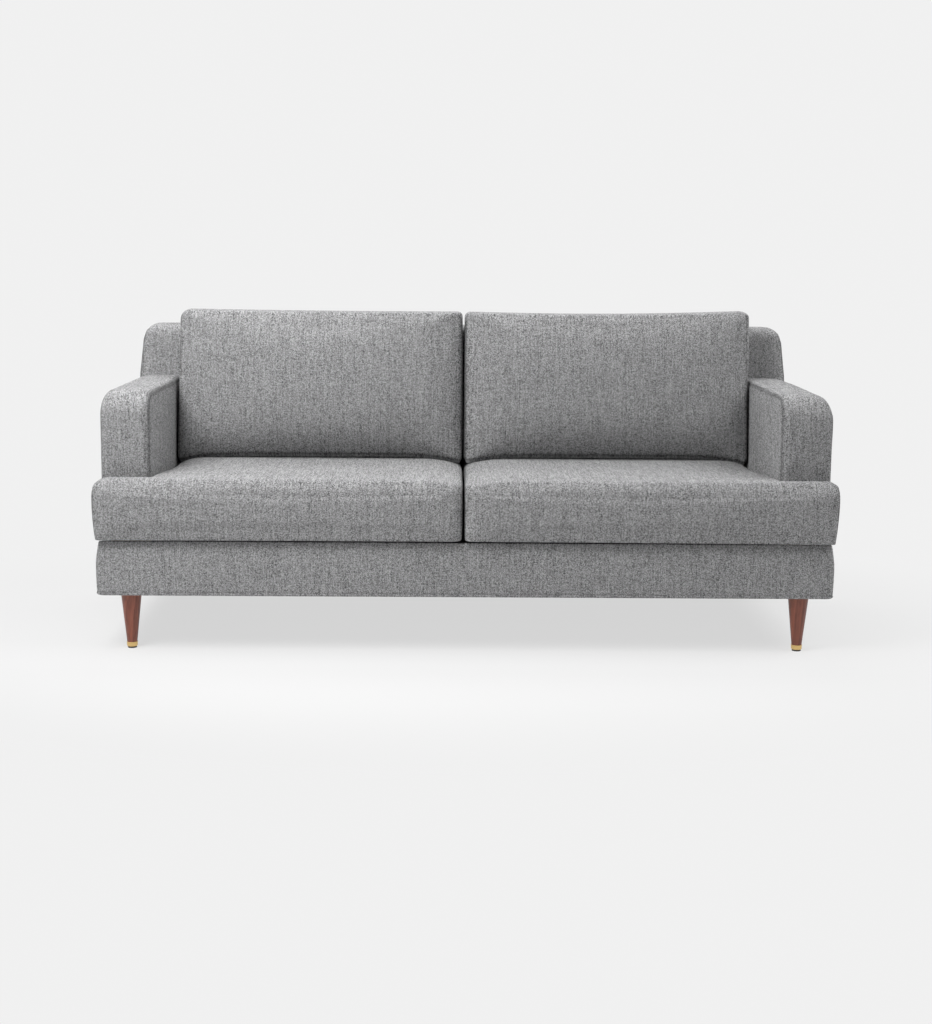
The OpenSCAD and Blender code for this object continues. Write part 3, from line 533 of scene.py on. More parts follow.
def sew(name, panels, side=1, material="upholstery"):
    points, faces, weaves, seams, start = [], [], [], [], 0
    for number, (grid, weave, seam) in enumerate(panels):
        rows, columns = grid.shape[:2]
        index = np.arange(rows * columns).reshape(rows, columns) + start
        quads = np.stack([index[:-1, :-1], index[:-1, 1:], index[1:, 1:], index[1:, :-1]], -1)
        points.append(grid.reshape(-1, 3) * (side, 1, 1))
        faces.append(quads.reshape(-1, 4))
        weaves.append(weave.reshape(-1, 2) + (0.1337 * number + 0.5 * side, 0.0711 * number))
        seams.append(seam.reshape(-1))
        start += rows * columns
    mesh = bpy.data.meshes.new(name)
    mesh.from_pydata(np.concatenate(points).tolist(), [], np.concatenate(faces).tolist())
    corner = np.empty(len(mesh.loops), np.int32)
    mesh.loops.foreach_get("vertex_index", corner)
    mesh.uv_layers.new(name="weave").data.foreach_set("uv", np.concatenate(weaves)[corner].ravel())
    # The seam attribute is 1 at a seam and fades within this width; the cloth paints shade along the seams
    # with it, and settling holds the cloth by it
    fade = np.exp(-(np.concatenate(seams) / seamShadeWidth) ** 2)
    mesh.attributes.new("seam", "FLOAT", "POINT").data.foreach_set("value", fade.astype(np.float32))
    work = bmesh.new()
    work.from_mesh(mesh)
    bmesh.ops.remove_doubles(work, verts=work.verts, dist=joinWithin)
    bmesh.ops.recalc_face_normals(work, faces=work.faces)
    loose = sum(1 for e in work.edges if len(e.link_faces) != 2)
    for face in work.faces:
        face.smooth = True
    closeMesh(work, mesh, material)
    print(f"{name}: {len(mesh.vertices)} points, {loose} loose edges")
    return addObject(name, mesh)


# The stuffing pushes a cushion's cloth out: a short cloth run, held at the seams, kept within a reach
settling = {"frames": 14, "reach": 0.004, "facing": (0.3, 0.7), "heldFrom": 0.3,
            "cloth": {"quality": 4, "mass": 0.4, "tension_stiffness": 40.0, "compression_stiffness": 40.0,
                      "shear_stiffness": 10.0, "bending_stiffness": 4.0, "use_pressure": True,
                      "uniform_pressure_force": 4.0}}


def settle(cushion):
    s = settling
    mesh = cushion.data
    count = len(mesh.vertices)
    seam = np.empty(count, np.float32)
    mesh.attributes["seam"].data.foreach_get("value", seam)
    before, after, normals = np.empty(count * 3), np.empty(count * 3), np.empty(count * 3)
    mesh.vertices.foreach_get("co", before)
    mesh.vertex_normals.foreach_get("vector", normals)
    held = cushion.vertex_groups.new(name="held")
    for n in np.nonzero(seam > s["heldFrom"])[0].tolist():
        held.add([n], float(seam[n]), "REPLACE")
    cloth = cushion.modifiers.new("settle", "CLOTH")
    for setting, value in s["cloth"].items():
        setattr(cloth.settings, setting, value)
    cloth.settings.effector_weights.gravity = 0
    cloth.settings.vertex_group_mass = held.name
    cloth.collision_settings.use_collision = False
    cloth.point_cache.frame_start = 1
    cloth.point_cache.frame_end = s["frames"]
    for number in range(1, s["frames"] + 1):
        bpy.context.scene.frame_set(number)
    filled = cushion.evaluated_get(bpy.context.evaluated_depsgraph_get())
    filled.to_mesh().vertices.foreach_get("co", after)
    filled.to_mesh_clear()
    cushion.modifiers.clear()
    cushion.vertex_groups.clear()
    bpy.context.scene.frame_set(1)
    before, moved = before.reshape(-1, 3), (after - before).reshape(-1, 3)
    far = np.maximum(np.linalg.norm(moved, axis=1, keepdims=True), 1e-9)
    # Only the open front moves, so the hidden sides stay clear of their neighbours
    low, high = s["facing"]
    ahead = ease((-normals.reshape(-1, 3)[:, 1:2] - low) / (high - low))
    moved = moved * (s["reach"] * np.tanh(far / s["reach"]) / far) * ahead
    mesh.vertices.foreach_set("co", (before + moved).ravel())
    mesh.update()
    print(f"{cushion.name}: settled by up to {np.linalg.norm(moved, axis=1).max() * 1000:.1f} mm")


def dress(piece, body, slot, *replaced, fill=None):
    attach(piece, body)
    if replaced:
        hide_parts(*replaced)
    return piece


# Seat cushions: a wrap panel over the top and the front, a bottom panel, and boxing at the sides
seat = {"step": 0.0125, "level": 0.4355, "frontRise": 0.0072, "crown": 0.0006, "frontRoll": 0.031,
        "frontSwell": 0.006, "sideSwell": 0.002, "earSwell": 0.0055, "earLean": 0.004, "gapCorner": 0.030,
        "armGap": 0.003, "cornerFade": 0.04, "earFade": 0.013, "bendDepth": 0.12, "underRoll": 0.003,
        "gapEdge": {"front": 0.016, "rear": 0.032, "width": 0.11},
        "armEdge": {"front": 0.003, "rear": 0.025, "width": 0.08, "rise": 0.34},
        "hiddenEdge": (0.012, 0.024), "underWidth": (0.02, 0.016), "gapRun": 0.40, "riseRun": (0.06, 0.36),
        "liftRun": 0.10, "swellRun": 0.08, "partingFrom": 0.07, "sideForm": (2.4, 0.6), "frontForm": 0.55,
        "zipDepth": 0.0055, "clearance": 0.001,
        "right": {"parting": -0.008, "reach": 0.9500, "earCorner": 0.010, "earEdge": (0.012, 0.020),
                  "frontLift": (0.0090, 0.0060)},
        "left": {"parting": 0.008, "reach": 0.9515, "earCorner": 0.011, "earEdge": (0.022, 0.034),
                 "frontLift": (0.0090, 0.0072)}}


def seatPanels(side):
    s, own = seat, seat[side]
    nearX = seatLow.x + s["sideSwell"]
    bodyX = armLow.x - s["armGap"] - s["sideSwell"]
    farX = own["reach"] - s["earSwell"]
    frontY = seatLow.y + s["frontSwell"]
    earY = armLow.y - s["armGap"] - s["sideSwell"]
    rearY = seatHigh.y
    turns = np.radians(np.arange(0, 91, 9))
    rollSteps = tuple(s["frontRoll"] * (1 - np.cos(turns)))
    xs = np.concatenate([spread(nearX, bodyX, s["step"]), spread(bodyX, farX, s["step"])[1:]])
    bodyI = len(spread(nearX, bodyX, s["step"])) - 1
    ys = np.concatenate([spread(frontY, earY, s["step"], rollSteps), spread(earY, rearY, s["step"])[1:]])
    earJ = len(spread(frontY, earY, s["step"], rollSteps)) - 1
    inBody = slice(0, bodyI + 1)

    x, y = np.meshgrid(xs, ys)
    ahead = y - frontY
    front = unit(1 - ahead / s["bendDepth"])
    deepY, isEar = y > earY + 1e-6, x > bodyX + 1e-6
    toArm = np.where(deepY, np.abs(bodyX - x), np.hypot(bodyX - x, earY - y))
    toArm = np.where(isEar, np.inf, toArm)
    toEarRear = np.where(isEar, earY - y, np.inf)
    toEarEnd = np.where(deepY, np.inf, farX - x)
    gap, byArm = s["gapEdge"], s["armEdge"]
    gapDepth = between(gap["front"], gap["rear"], ease(ahead / s["gapRun"]))
    armDepth = between(byArm["front"], byArm["rear"], ease((y - earY) / byArm["rise"]))
    drops = [edgeDrop(ahead, s["frontRoll"], s["frontRoll"]), edgeDrop(x - nearX, gapDepth, gap["width"]),
             edgeDrop(toArm, armDepth, byArm["width"]), edgeDrop(toEarRear, *s["hiddenEdge"]),
             edgeDrop(toEarEnd, *own["earEdge"]), edgeDrop(rearY - y, *s["hiddenEdge"])]
    over = unit(np.abs(2 * (x - nearX) / (bodyX - nearX) - 1))
    raised = s["frontRise"] * ease((s["riseRun"][0] - y) / s["riseRun"][1])
    topZ = s["level"] + raised + s["crown"] * (1 - over ** 4)
    topZ = topZ - np.sqrt(sum(d * d for d in drops))
    seamNear = np.minimum.reduce([x - nearX, toArm, toEarRear, toEarEnd, rearY - y])

    across = unit(x / farX)
    lift = between(*own["frontLift"], across ** 2)
    under = [edgeDrop(d, s["underRoll"], w) for d, w in zip((ahead, seamNear), s["underWidth"])]
    lowZ = seatLow.z + s["clearance"] + np.hypot(*under) + lift * (1 - ease(ahead / s["liftRun"]))

    bend = roundDrop(x - nearX, s["gapCorner"]) + roundDrop(farX - x, own["earCorner"])
    topY = y - s["frontSwell"] * unit(1 - ahead / s["swellRun"]) + bend * front
    lowY = y + bend * front
    parted = unit((s["partingFrom"] - y) / (s["partingFrom"] - frontY))
    topX = x + own["parting"] * parted * unit((bodyX - x) / bodyX)
    lowX = topX - s["earLean"] * unit((x - bodyX) / (farX - bodyX))
    top, low = np.stack([topX, topY, topZ], -1), np.stack([lowX, lowY, lowZ], -1)

    frontHeight = s["level"] + s["frontRise"] - s["frontRoll"] - seatLow.z
    height = s["level"] - seatLow.z
    panels = []
    for grid, isTop in ((top, True), (low, False)):
        for rows, columns in ((slice(None), inBody), (slice(0, earJ + 1), slice(bodyI, None))):
            cut = grid[rows, columns]
            along = arcLength(cut, 0) + (frontHeight if isTop else 1.0)
            panels.append(gridPanel(cut, (cut[..., 0], along), seamNear[rows, columns]))

    zipZ = (seatZipLow.z + seatZipHigh.z) / 2
    # The rear boxing's foot and top, taken clear of the corner's roundness
    boxLow, boxHigh = low[-1, 5, 2], top[-1, 5, 2]
    zipShares = [(zipZ - boxLow + line) / (boxHigh - boxLow) for line in slotLines()]
    share = np.sort(np.concatenate([spread(0, height, s["step"]) / height, zipShares]))[:, None]
    power, root = s["sideForm"]
    rise = (1 - (1 - unit(share / s["frontForm"])) ** power) ** root

    def boxing(rows, columns, axis, swell, kind):
        a, b = low[rows, columns], top[rows, columns]
        points = a[None] + (b - a)[None] * share[..., None]
        run = arcLength(points, 1)
        ends = np.minimum(run, run[:, -1:] - run)
        near = np.minimum(share, 1 - share) * height
        blend = 0.0 if kind == "front" else 1.0
        if axis == 0:
            blend = unit((a[None, :, 1] - low[0, columns, 1]) / s["cornerFade"])
        points[..., 1] = a[None, :, 1] + (b - a)[None, :, 1] * (rise * (1 - blend) + share * blend)
        if kind == "front":
            return gridPanel(points, (points[..., 0], points[..., 2] - seatLow.z), ends)
        form = bandForm(share, *s["sideForm"])
        fade = np.sqrt(unit(ends / s["earFade" if kind == "ear" else "cornerFade"]))
        points[..., axis] += swell * form * fade
        if kind == "rear":
            across = np.abs(points[..., 0] - (seatZipLow.x + seatZipHigh.x) / 2)
            toZip = np.abs(points[..., 2] - zipZ)
            inSlot = (across < zipSlot["length"] / 2) & (toZip < zipSlot["halfWidth"] + zipSlot["slack"])
            points[..., 1] -= np.where(inSlot, s["zipDepth"], 0)
        return gridPanel(points, (run, points[..., 2] - seatLow.z), np.minimum(near, ends))

    full, swell = slice(None), s["sideSwell"]
    panels += [boxing(0, full, 1, 0, "front"), boxing(slice(0, earJ + 1), -1, 0, s["earSwell"], "ear"),
               boxing(earJ, slice(bodyI, None), 1, swell, "side"),
               boxing(slice(earJ, None), bodyI, 0, swell, "side"),
               boxing(-1, inBody, 1, 0, "rear"), boxing(full, 0, 0, -swell, "side")]
    return panels


# Back cushions: measured across, up the lean and out from the back, then laid on it
pillow = {"step": 0.0125, "plateau": 0.116, "seamRear": 0.008, "crown": 0.044, "peakShare": 0.45,
          "topFall": 0.55, "innerSwell": 0.003, "topSwell": 0.003, "seamUp": 0.0085, "seamDroop": 0.022,
          "floor": -0.0048, "floorDroop": 0.021, "droopPower": 6, "lowRollShare": 0.22, "innerLean": 0.0015,
          "sideForm": (2.2, 0.6), "freeRise": (0.004, 0.04), "rearWidth": 0.02,
          "edges": {"top": (0.012, 0.018), "inner": (0.038, 0.075), "low": (0.012, 0.024)},
          "right": {"outerTop": 0.013, "innerTop": 0.014, "low": 0.014, "lift": 0.007, "sag": 0.005,
                    "outerEdge": (0.006, 0.012), "outerLean": 0.003, "reach": 0.8120, "swell": 0.0055,
                    "freeSwell": 0.006},
          "left": {"outerTop": 0.024, "innerTop": 0.012, "low": 0.014, "lift": 0.003, "sag": 0.001,
                   "outerEdge": (0.014, 0.024), "outerLean": 0.009, "reach": 0.8137, "swell": 0.003,
                   "freeSwell": 0.001}}


def pillowPanels(side):
    p, own = pillow, pillow[side]
    nearX, farX = pillowLow.x + p["innerSwell"], own["reach"] - own["swell"]
    high = pillowHigh.z - pillowLow.z - p["topSwell"]
    xs, ys = spread(nearX, farX, p["step"]), spread(0, high, p["step"])
    x, y = np.meshgrid(xs, ys)
    edge = np.minimum.reduce([x - nearX, farX - x, y, high - y])
    seam = np.minimum.reduce([x - nearX, farX - x, y])
    over = np.abs(2 * (x - nearX) / (farX - nearX) - 1)
    peak = p["peakShare"] * high
    upward = np.where(y < peak, (peak - y) / peak, (y - peak) / (high - peak))
    rise = p["crown"] * (1 - over ** 3) * (1 - np.where(y < peak, 1, p["topFall"]) * upward ** 3)
    droop = over ** p["droopPower"]

    def outline(lowEdge):
        bentX, bentY = x, y
        for centre, way, radius in (
                ((farX - own["outerTop"], high - own["outerTop"]), (1, 1), own["outerTop"]),
                ((nearX + own["innerTop"], high - own["innerTop"]), (-1, 1), own["innerTop"]),
                ((farX - own["low"], own["low"]), (1, -1), own["low"]),
                ((nearX + own["low"], own["low"]), (-1, -1), own["low"])):
            bentX, bentY = bendCorner(bentX, bentY, centre, way, radius)
        t, up = unit((bentX - nearX) / (farX - nearX)), bentY / high
        sag = own["sag"] * np.sin(math.pi * t) - own["lift"] * t ** 2
        bentX = bentX - own["outerLean"] * up * t ** 4 + p["innerLean"] * up ** 2 * (1 - t) ** 8
        return bentX, bentY - sag * up ** 2 + lowEdge * (1 - up) ** 3

    def laid(x, y, out, weave, distance):
        z = pillowLow.z + y
        return panel(x, backFront(z) - restGap - out, z, weave, distance)

    edges = [edgeDrop(high - y, *p["edges"]["top"]), edgeDrop(x - nearX, *p["edges"]["inner"]),
             edgeDrop(farX - x, *own["outerEdge"]), edgeDrop(y, *p["edges"]["low"])]
    frontX, frontY = outline(p["seamUp"] - p["seamDroop"] * droop)
    rearX, rearY = outline(p["floor"] - p["floorDroop"] * droop)
    front = p["plateau"] + rise - np.sqrt(sum(e * e for e in edges))
    rear = p["seamRear"] * unit(edgeDrop(edge, 1.0, p["rearWidth"]))
    panels = [laid(frontX, frontY, front, (x, y), seam), laid(rearX, rearY, rear, (x, y), edge)]

    aX, aY, aOut = (loop(g) for g in (rearX, rearY, rear))
    bX, bY, bOut = (loop(g) for g in (frontX, frontY, front))
    ring = np.stack([bX[0, :-1], bY[0, :-1]], -1)
    tangent = np.roll(ring, -1, 0) - np.roll(ring, 1, 0)
    normal = np.stack([tangent[:, 1], -tangent[:, 0]], -1) / np.linalg.norm(tangent, axis=1)[:, None]
    normal = np.concatenate([normal, normal[:1]])
    isLow = unit(-normal[:, 1])[None] ** 2
    depth = p["plateau"] - p["edges"]["low"][0] - p["seamRear"]
    zipShares = [0.5 + line / depth for line in slotLines()]
    share = np.sort(np.concatenate([spread(0, depth, p["step"]) / depth, zipShares]))[:, None]
    turned = unit((share - 1) / p["lowRollShare"] + 1)
    blend = share * (1 - isLow) + isLow * (1 - np.sqrt(1 - turned ** 2))
    form = bandForm(share, *p["sideForm"])
    isTop = unit(normal[:, 1])[None]
    overArm = pillowLow.z + bY - armHigh.z - p["freeRise"][0]
    free = own["swell"] + own["freeSwell"] * ease(overArm / p["freeRise"][1])
    swell = np.where(normal[:, 0][None] > 0, free, p["innerSwell"])
    swell = form * between(swell, p["topSwell"], isTop) * (1 - isLow)
    boxX = between(aX, bX, blend) + normal[:, 0][None] * swell
    boxY = between(aY, bY, blend) + normal[:, 1][None] * swell
    inSlot = (np.abs(boxX - (backZipLow.x + backZipHigh.x) / 2) < zipSlot["length"] / 2) & (isLow > 0.9)
    inSlot = inSlot & (np.abs(share - 0.5) * depth < zipSlot["halfWidth"] + zipSlot["slack"])
    boxY = np.where(inSlot, backZipLow.z - pillowLow.z + zipSlot["slack"], boxY)
    out = between(aOut, bOut, share)
    run = runAlong(bX[0], bY[0])
    seam = np.minimum(share, 1 - share) * depth + isTop
    panels.append(laid(boxX, boxY, out, (run, out), seam))
    return panels


# Arms: one band up the front and back along the top, sewn to an inner and an outer panel
arm = {"step": 0.0125, "corner": 0.066, "rearReach": 0.0165, "rearPower": 8, "rearSharp": 40,
       "bulgeWidth": 0.008, "shoulder": {"z": 0.572, "width": 0.045}, "sagRun": (0.10, 0.42), "sagFrom": 0.45,
       "right": {"innerIn": 0.003, "outerIn": 0.0, "bulge": (0.002, 0.003), "shoulder": 0.003,
                 "sag": (0.004, 0.006),
                 "front": {"crown": (0.006, 0.010), "edge": (0.016, 0.010)},
                 "top": {"crown": (0.002, 0.014), "edge": (0.010, 0.028)}},
       "left": {"innerIn": 0.0045, "outerIn": 0.005, "bulge": (0.002, 0.0004), "shoulder": 0.0,
                "sag": (0.001, 0.001),
                "front": {"crown": (0.003, 0.006), "edge": (0.019, 0.008)},
                "top": {"crown": (0.003, 0.010), "edge": (0.014, 0.024)}}}
bandShares = (0, 0.010, 0.025, 0.045, 0.07, 0.10, 0.14, 0.19, 0.25, 0.32, 0.41)


def armPanels(side):
    a, own = arm, arm[side]
    innerX, outerX = armLow.x + own["innerIn"], armHigh.x - own["outerIn"]
    width = outerX - innerX
    frontY, topZ, radius = armLow.y, armHigh.z, a["corner"]
    rearY = backFront(topZ) - restGap
    ys = spread(frontY, rearY, a["step"], seamSteps, (0, 0.004, 0.010))
    zs = spread(armLow.z, topZ, a["step"], (0,))
    flatY, flatZ = np.meshgrid(ys, zs)
    edge = np.minimum(flatY - frontY, topZ - flatZ)
    back = (flatY - frontY) / (rearY - frontY)
    y, z = bendCorner(flatY, flatZ, (frontY + radius, topZ - radius), (-1, 1), radius)

    def leant(y, z, share):
        return y + (backFront(z) - restGap - rearY) * share

    def sagged(y, z, share):
        upper = unit((z - a["sagFrom"]) / (topZ - a["sagFrom"]))
        return z - between(*own["sag"], share) * ease((a["sagRun"][0] - y) / a["sagRun"][1]) * upper

    def toCorner(y, z):
        return unit((frontY + radius - y) / radius), unit((z - topZ + radius) / radius)

    panels, faces = [], []
    for n, x in enumerate((innerX, outerX)):
        dropY, dropZ = (own[k]["crown"][n] + own[k]["edge"][n] for k in ("front", "top"))
        outY, outZ = toCorner(y, z)
        inZ = z - dropZ * outZ
        inY = leant(y + dropY * outY, inZ, back) + n * a["rearReach"] * back ** a["rearSharp"]
        inZ = sagged(inY, inZ, n)
        near = edge * (1 - (dropY + dropZ) / 2 / radius)
        fromShoulder = (inZ - a["shoulder"]["z"]) / a["shoulder"]["width"]
        bulge = own["bulge"][n] + n * own["shoulder"] * np.exp(-fromShoulder ** 2)
        bulge = bulge * (2 * n - 1) * (1 - np.exp(-near / a["bulgeWidth"]))
        faces.append(np.stack([x + bulge, inY, inZ], -1))
        panels.append(gridPanel(faces[-1], (inY, inZ), near))

    def line(grid):
        return np.concatenate([grid[:, 0], grid[-1, 1:]])

    lineY, lineZ, lineBack = line(y), line(z), line(back)
    outY, outZ = toCorner(lineY, lineZ)
    s = np.array(bandShares + (0.5,) + tuple(1 - b for b in reversed(bandShares)))[:, None]
    inner, outer = unit(1 - 2 * s), unit(2 * s - 1)
    drops = []
    for form in (own["front"], own["top"]):
        crown = form["crown"][0] * inner ** 3 + form["crown"][1] * outer ** 3
        edges = [roundDrop(part * width, turn) for part, turn in zip((s, 1 - s), form["edge"])]
        drops.append(crown + edges[0] + edges[1])
    bandZ = lineZ - outZ * drops[1]
    wrap = a["rearReach"] * lineBack ** a["rearSharp"] * s ** a["rearPower"]
    bandY = leant(lineY + outY * drops[0], bandZ, lineBack) + wrap
    bandZ = sagged(bandY, bandZ, s)
    bandX = innerX + width * s + 0 * bandY
    run = runAlong(lineY, lineZ)
    across = arcLength(np.stack([bandX, bandY, bandZ], -1), 0)
    panels.append(panel(bandX, bandY, bandZ, (across, run), np.minimum(s, 1 - s) * width))

    # The hidden rear end and underside close the form
    t = s[:, 0][None, :, None]
    rear = faces[0][:, -1][:, None] * (1 - t) + faces[1][:, -1][:, None] * t
    rear[..., 1] = backFront(rear[..., 2]) - restGap + a["rearReach"] * t[..., 0] ** a["rearPower"]
    rear[-1] = np.stack([bandX[:, -1], bandY[:, -1], bandZ[:, -1]], -1)
    under = faces[0][0][:, None] * (1 - t) + faces[1][0][:, None] * t
    under[0] = np.stack([bandX[:, 0], bandY[:, 0], bandZ[:, 0]], -1)
    under[-1] = rear[0]
    panels += [gridPanel(rear), gridPanel(under)]
    return panels


# The back: a front and a rear panel, joined by a band over the top and down the sides
back = {"step": 0.016, "thick": 0.167, "sideIn": 0.005, "topIn": 0.009, "topSwell": 0.007, "corner": 0.034,
        "sideRoll": (0.012, 0.030), "topRoll": (0.020, 0.030), "rearRoll": (0.008, 0.020), "taper": 0.014,
        "rolled": 0.02, "bandStep": 0.014, "sideForm": (6, 0.5), "topForm": (2, 0.5)}


def backPanels():
    b = back
    lowX, topZ = backHigh.x - b["sideIn"], backHigh.z - b["topIn"]
    topX, radius = lowX - b["taper"], b["corner"] - b["sideIn"]
    thick = b["thick"] / math.cos(math.atan(lean))
    ends = tuple(v / lowX for v in seamSteps)
    u, z = np.meshgrid(spread(-1, 1, b["step"] / lowX, ends, ends), spread(backLow.z, topZ, b["step"], (0,)))
    taper = unit((z - armHigh.z) / (topZ - armHigh.z))
    x = u * between(lowX, topX, taper)
    toSide, toTop = lowX - np.abs(u) * lowX, topZ - z
    edge = np.minimum(toSide, toTop)
    for way in (-1, 1):
        x, z = bendCorner(x, z, (way * (topX - radius), topZ - radius), (way, 1), radius)
    front = backFront(z) + np.hypot(edgeDrop(toSide, *b["sideRoll"]), edgeDrop(toTop, *b["topRoll"]))
    rear = backFront(z) + thick - edgeDrop(edge, *b["rearRoll"])
    panels = [panel(x, front, z, (x, z), toSide), panel(x, rear, z, (x, z), edge)]

    def line(grid):
        return np.concatenate([grid[:, 0], grid[-1, 1:], grid[-2::-1, -1]])[None]

    lineX, lineZ, lineFront, lineRear = (line(g) for g in (x, z, front, rear))
    outX = np.sign(lineX) * unit((np.abs(lineX) - topX + radius) / radius)
    outZ = unit((lineZ - topZ + radius) / radius)
    size = np.maximum(np.hypot(outX, outZ), 1e-6)
    outX, outZ = outX / size, outZ / size
    span = b["thick"] - b["rolled"]
    share = spread(0, span, b["bandStep"])[:, None] / span
    sideSwell = b["sideIn"] * bandForm(share, *b["sideForm"])
    swell = sideSwell * (1 - outZ) + b["topSwell"] * bandForm(share, *b["topForm"]) * outZ
    bandX, bandZ = lineX + outX * swell, lineZ + outZ * swell
    bandZ[:, 0] = bandZ[:, -1] = backLow.z
    run = runAlong(lineX[0], lineZ[0])
    seam = np.minimum(share + outZ, 1 - share) * span
    panels.append(panel(bandX, between(lineFront, lineRear, share), bandZ, (share * span, run), seam))
    t = share[:, 0][None]
    under = np.stack([x[0][:, None] + 0 * t, front[0][:, None] * (1 - t) + rear[0][:, None] * t,
                      backLow.z + 0 * x[0][:, None] + 0 * t], -1)
    under[0, :, 0], under[-1, :, 0] = bandX[:, 0], bandX[:, -1]
    panels.append(gridPanel(under))
    return panels


# The base: one padded band round the frame, turned under at its lower edge
base = {"step": 0.016, "rowStep": 0.012, "thick": 0.012, "sideOut": 0.0045, "lowOut": 0.002,
        "topEdge": 0.008, "topLean": (0.005, 0.05), "lowEdge": 0.007, "corner": 0.022, "bulge": 0.002,
        "hemUp": 0.007, "hemDepth": 0.0005, "hemWidth": 0.0012, "hemMiddle": 0.0018, "hemShade": 0.003,
        "hemRows": (0.0006, 0.0012, 0.0018, 0.0026, 0.004, 0.006), "frontRise": 0.008,
        "riseHeight": 0.04, "riseDepth": 0.05}


def basePanels():
    b = base
    wide, front, rear, r = baseHigh.x + b["sideOut"], baseLow.y, baseHigh.y, b["corner"]
    lowZ, highZ = baseLow.z - b["lowOut"], baseHigh.z
    corners = [((wide - r, rear - r), 0), ((-wide + r, rear - r), 90), ((-wide + r, front + r), 180),
               ((wide - r, front + r), 270)]
    turn = np.radians(np.arange(0, 91, 10))
    line, out = [], []
    for number, ((cx, cy), start) in enumerate(corners):
        for a in turn + math.radians(start):
            line.append((cx + r * math.cos(a), cy + r * math.sin(a)))
            out.append((math.cos(a), math.sin(a)))
        nextCentre, nextStart = corners[(number + 1) % 4]
        a = math.radians(nextStart)
        target = np.array((nextCentre[0] + r * math.cos(a), nextCentre[1] + r * math.sin(a)))
        begin = np.array(line[-1])
        count = max(1, round(np.linalg.norm(target - begin) / b["step"]))
        for n in range(1, count):
            line.append(tuple(begin + (target - begin) * n / count))
            out.append((math.cos(a), math.sin(a)))
    line.append(line[0])
    out.append(out[0])
    line, out = np.array(line), np.array(out)
    hemZ = lowZ + b["hemUp"]
    rows = spread(lowZ + b["lowEdge"], highZ - b["topEdge"], b["rowStep"], (0,), (0,))
    heights = np.unique(np.concatenate([rows, hemZ + np.array(b["hemRows"])]))
    profile = [(b["thick"], lowZ), (b["lowEdge"], lowZ)]
    for a in np.radians(np.arange(-75, 0, 15)):
        profile.append((b["lowEdge"] * (1 - math.cos(a)), lowZ + b["lowEdge"] * (1 + math.sin(a))))
    for h in heights:
        t = (h - lowZ) / (highZ - lowZ)
        hem = b["hemDepth"] * math.exp(-((h - hemZ - b["hemMiddle"]) / b["hemWidth"]) ** 2)
        leanIn = b["topLean"][0] * ease((h - highZ + b["topLean"][1]) / b["topLean"][1])
        profile.append((hem + leanIn + b["bulge"] * (2 * t - 1) ** 2, h))
    for a in np.radians(np.arange(15, 91, 15)):
        roll = b["topEdge"] * (1 - math.cos(a)) * (1 - b["topLean"][0] / b["topEdge"])
        profile.append((b["bulge"] + b["topLean"][0] + roll, highZ - b["topEdge"] * (1 - math.sin(a))))
    profile += [(b["thick"], highZ), (b["thick"], lowZ)]
    inward, z = (np.array(v)[:, None] for v in zip(*profile))
    x = line[:, 0][None] - out[:, 0][None] * inward
    y = line[:, 1][None] - out[:, 1][None] * inward
    run = np.pad(np.cumsum(np.linalg.norm(np.diff(line, axis=0), axis=1)), (1, 0))[None]
    upper = unit((z - highZ + b["riseHeight"]) / b["riseHeight"])
    z = z + upper * (1 - ease((line[:, 1][None] - front) / b["riseDepth"])) * b["frontRise"]
    # The seam distance here runs from the hem fold, so the cloth's painted seam shade darkens the hem line;
    # hemShade weakens it
    return [panel(x, y, z, (run, z), np.abs(z - hemZ - b["hemMiddle"]) + b["hemShade"])]


# The seat deck: a flat pad with a rolled edge all round
deckPad = {"step": 0.02, "roll": 0.004}


def padPanels(low, high, step, roll):
    xs, ys = spread(low.x, high.x, step), spread(low.y, high.y, step)
    x, y = np.meshgrid(xs, ys)
    edge = np.minimum.reduce([x - low.x, high.x - x, y - low.y, high.y - y])
    rolled = roundDrop(edge, roll)
    top, bottom = high.z - rolled, low.z + rolled
    side = between(loop(bottom), loop(top), np.linspace(0, 1, 4)[:, None])
    run = np.arange(side.shape[1])[None] * step
    return [panel(x, y, top, (x, y)), panel(x, y, bottom, (x, y)), panel(loop(x), loop(y), side, (run, side))]


# Foam: the cushion's own form drawn inward and smoothed to one skin
foam = {"voxel": 0.007, "soften": 6, "seat": 0.016, "back": 0.015}


def keepMesh(piece):
    made = bpy.data.meshes.new_from_object(piece.evaluated_get(bpy.context.evaluated_depsgraph_get()))
    piece.modifiers.clear()
    old, piece.data = piece.data, made
    made.name = old.name
    bpy.data.meshes.remove(old)


def foamOf(cushion, name, inset):
    mesh = cushion.data.copy()
    work = bmesh.new()
    work.from_mesh(mesh)
    work.normal_update()
    moves = [vert.normal * inset for vert in work.verts]
    for vert, move in zip(work.verts, moves):
        vert.co -= move
    closeMesh(work, mesh, "foam")
    mesh.name = name
    piece = addObject(name, mesh)
    remesh = piece.modifiers.new("skin", "REMESH")
    remesh.mode = "VOXEL"
    remesh.voxel_size = foam["voxel"]
    remesh.use_smooth_shade = True
    smooth = piece.modifiers.new("soften", "SMOOTH")
    smooth.iterations = foam["soften"]
    keepMesh(piece)
    print(f"{name}: {len(piece.data.vertices)} points")
    return piece


# Thin cloths nailed to the frame: the solid's outline, cut to a grid and let sag
thin = {"dust_cover": {"name": "dustCloth", "step": (0.045, 0.045, 0), "sag": 0.003},
        "back_webbing": {"name": "webbing", "step": (0.024, 0, 0.024), "sag": 0.0012, "wave": 0.048}}


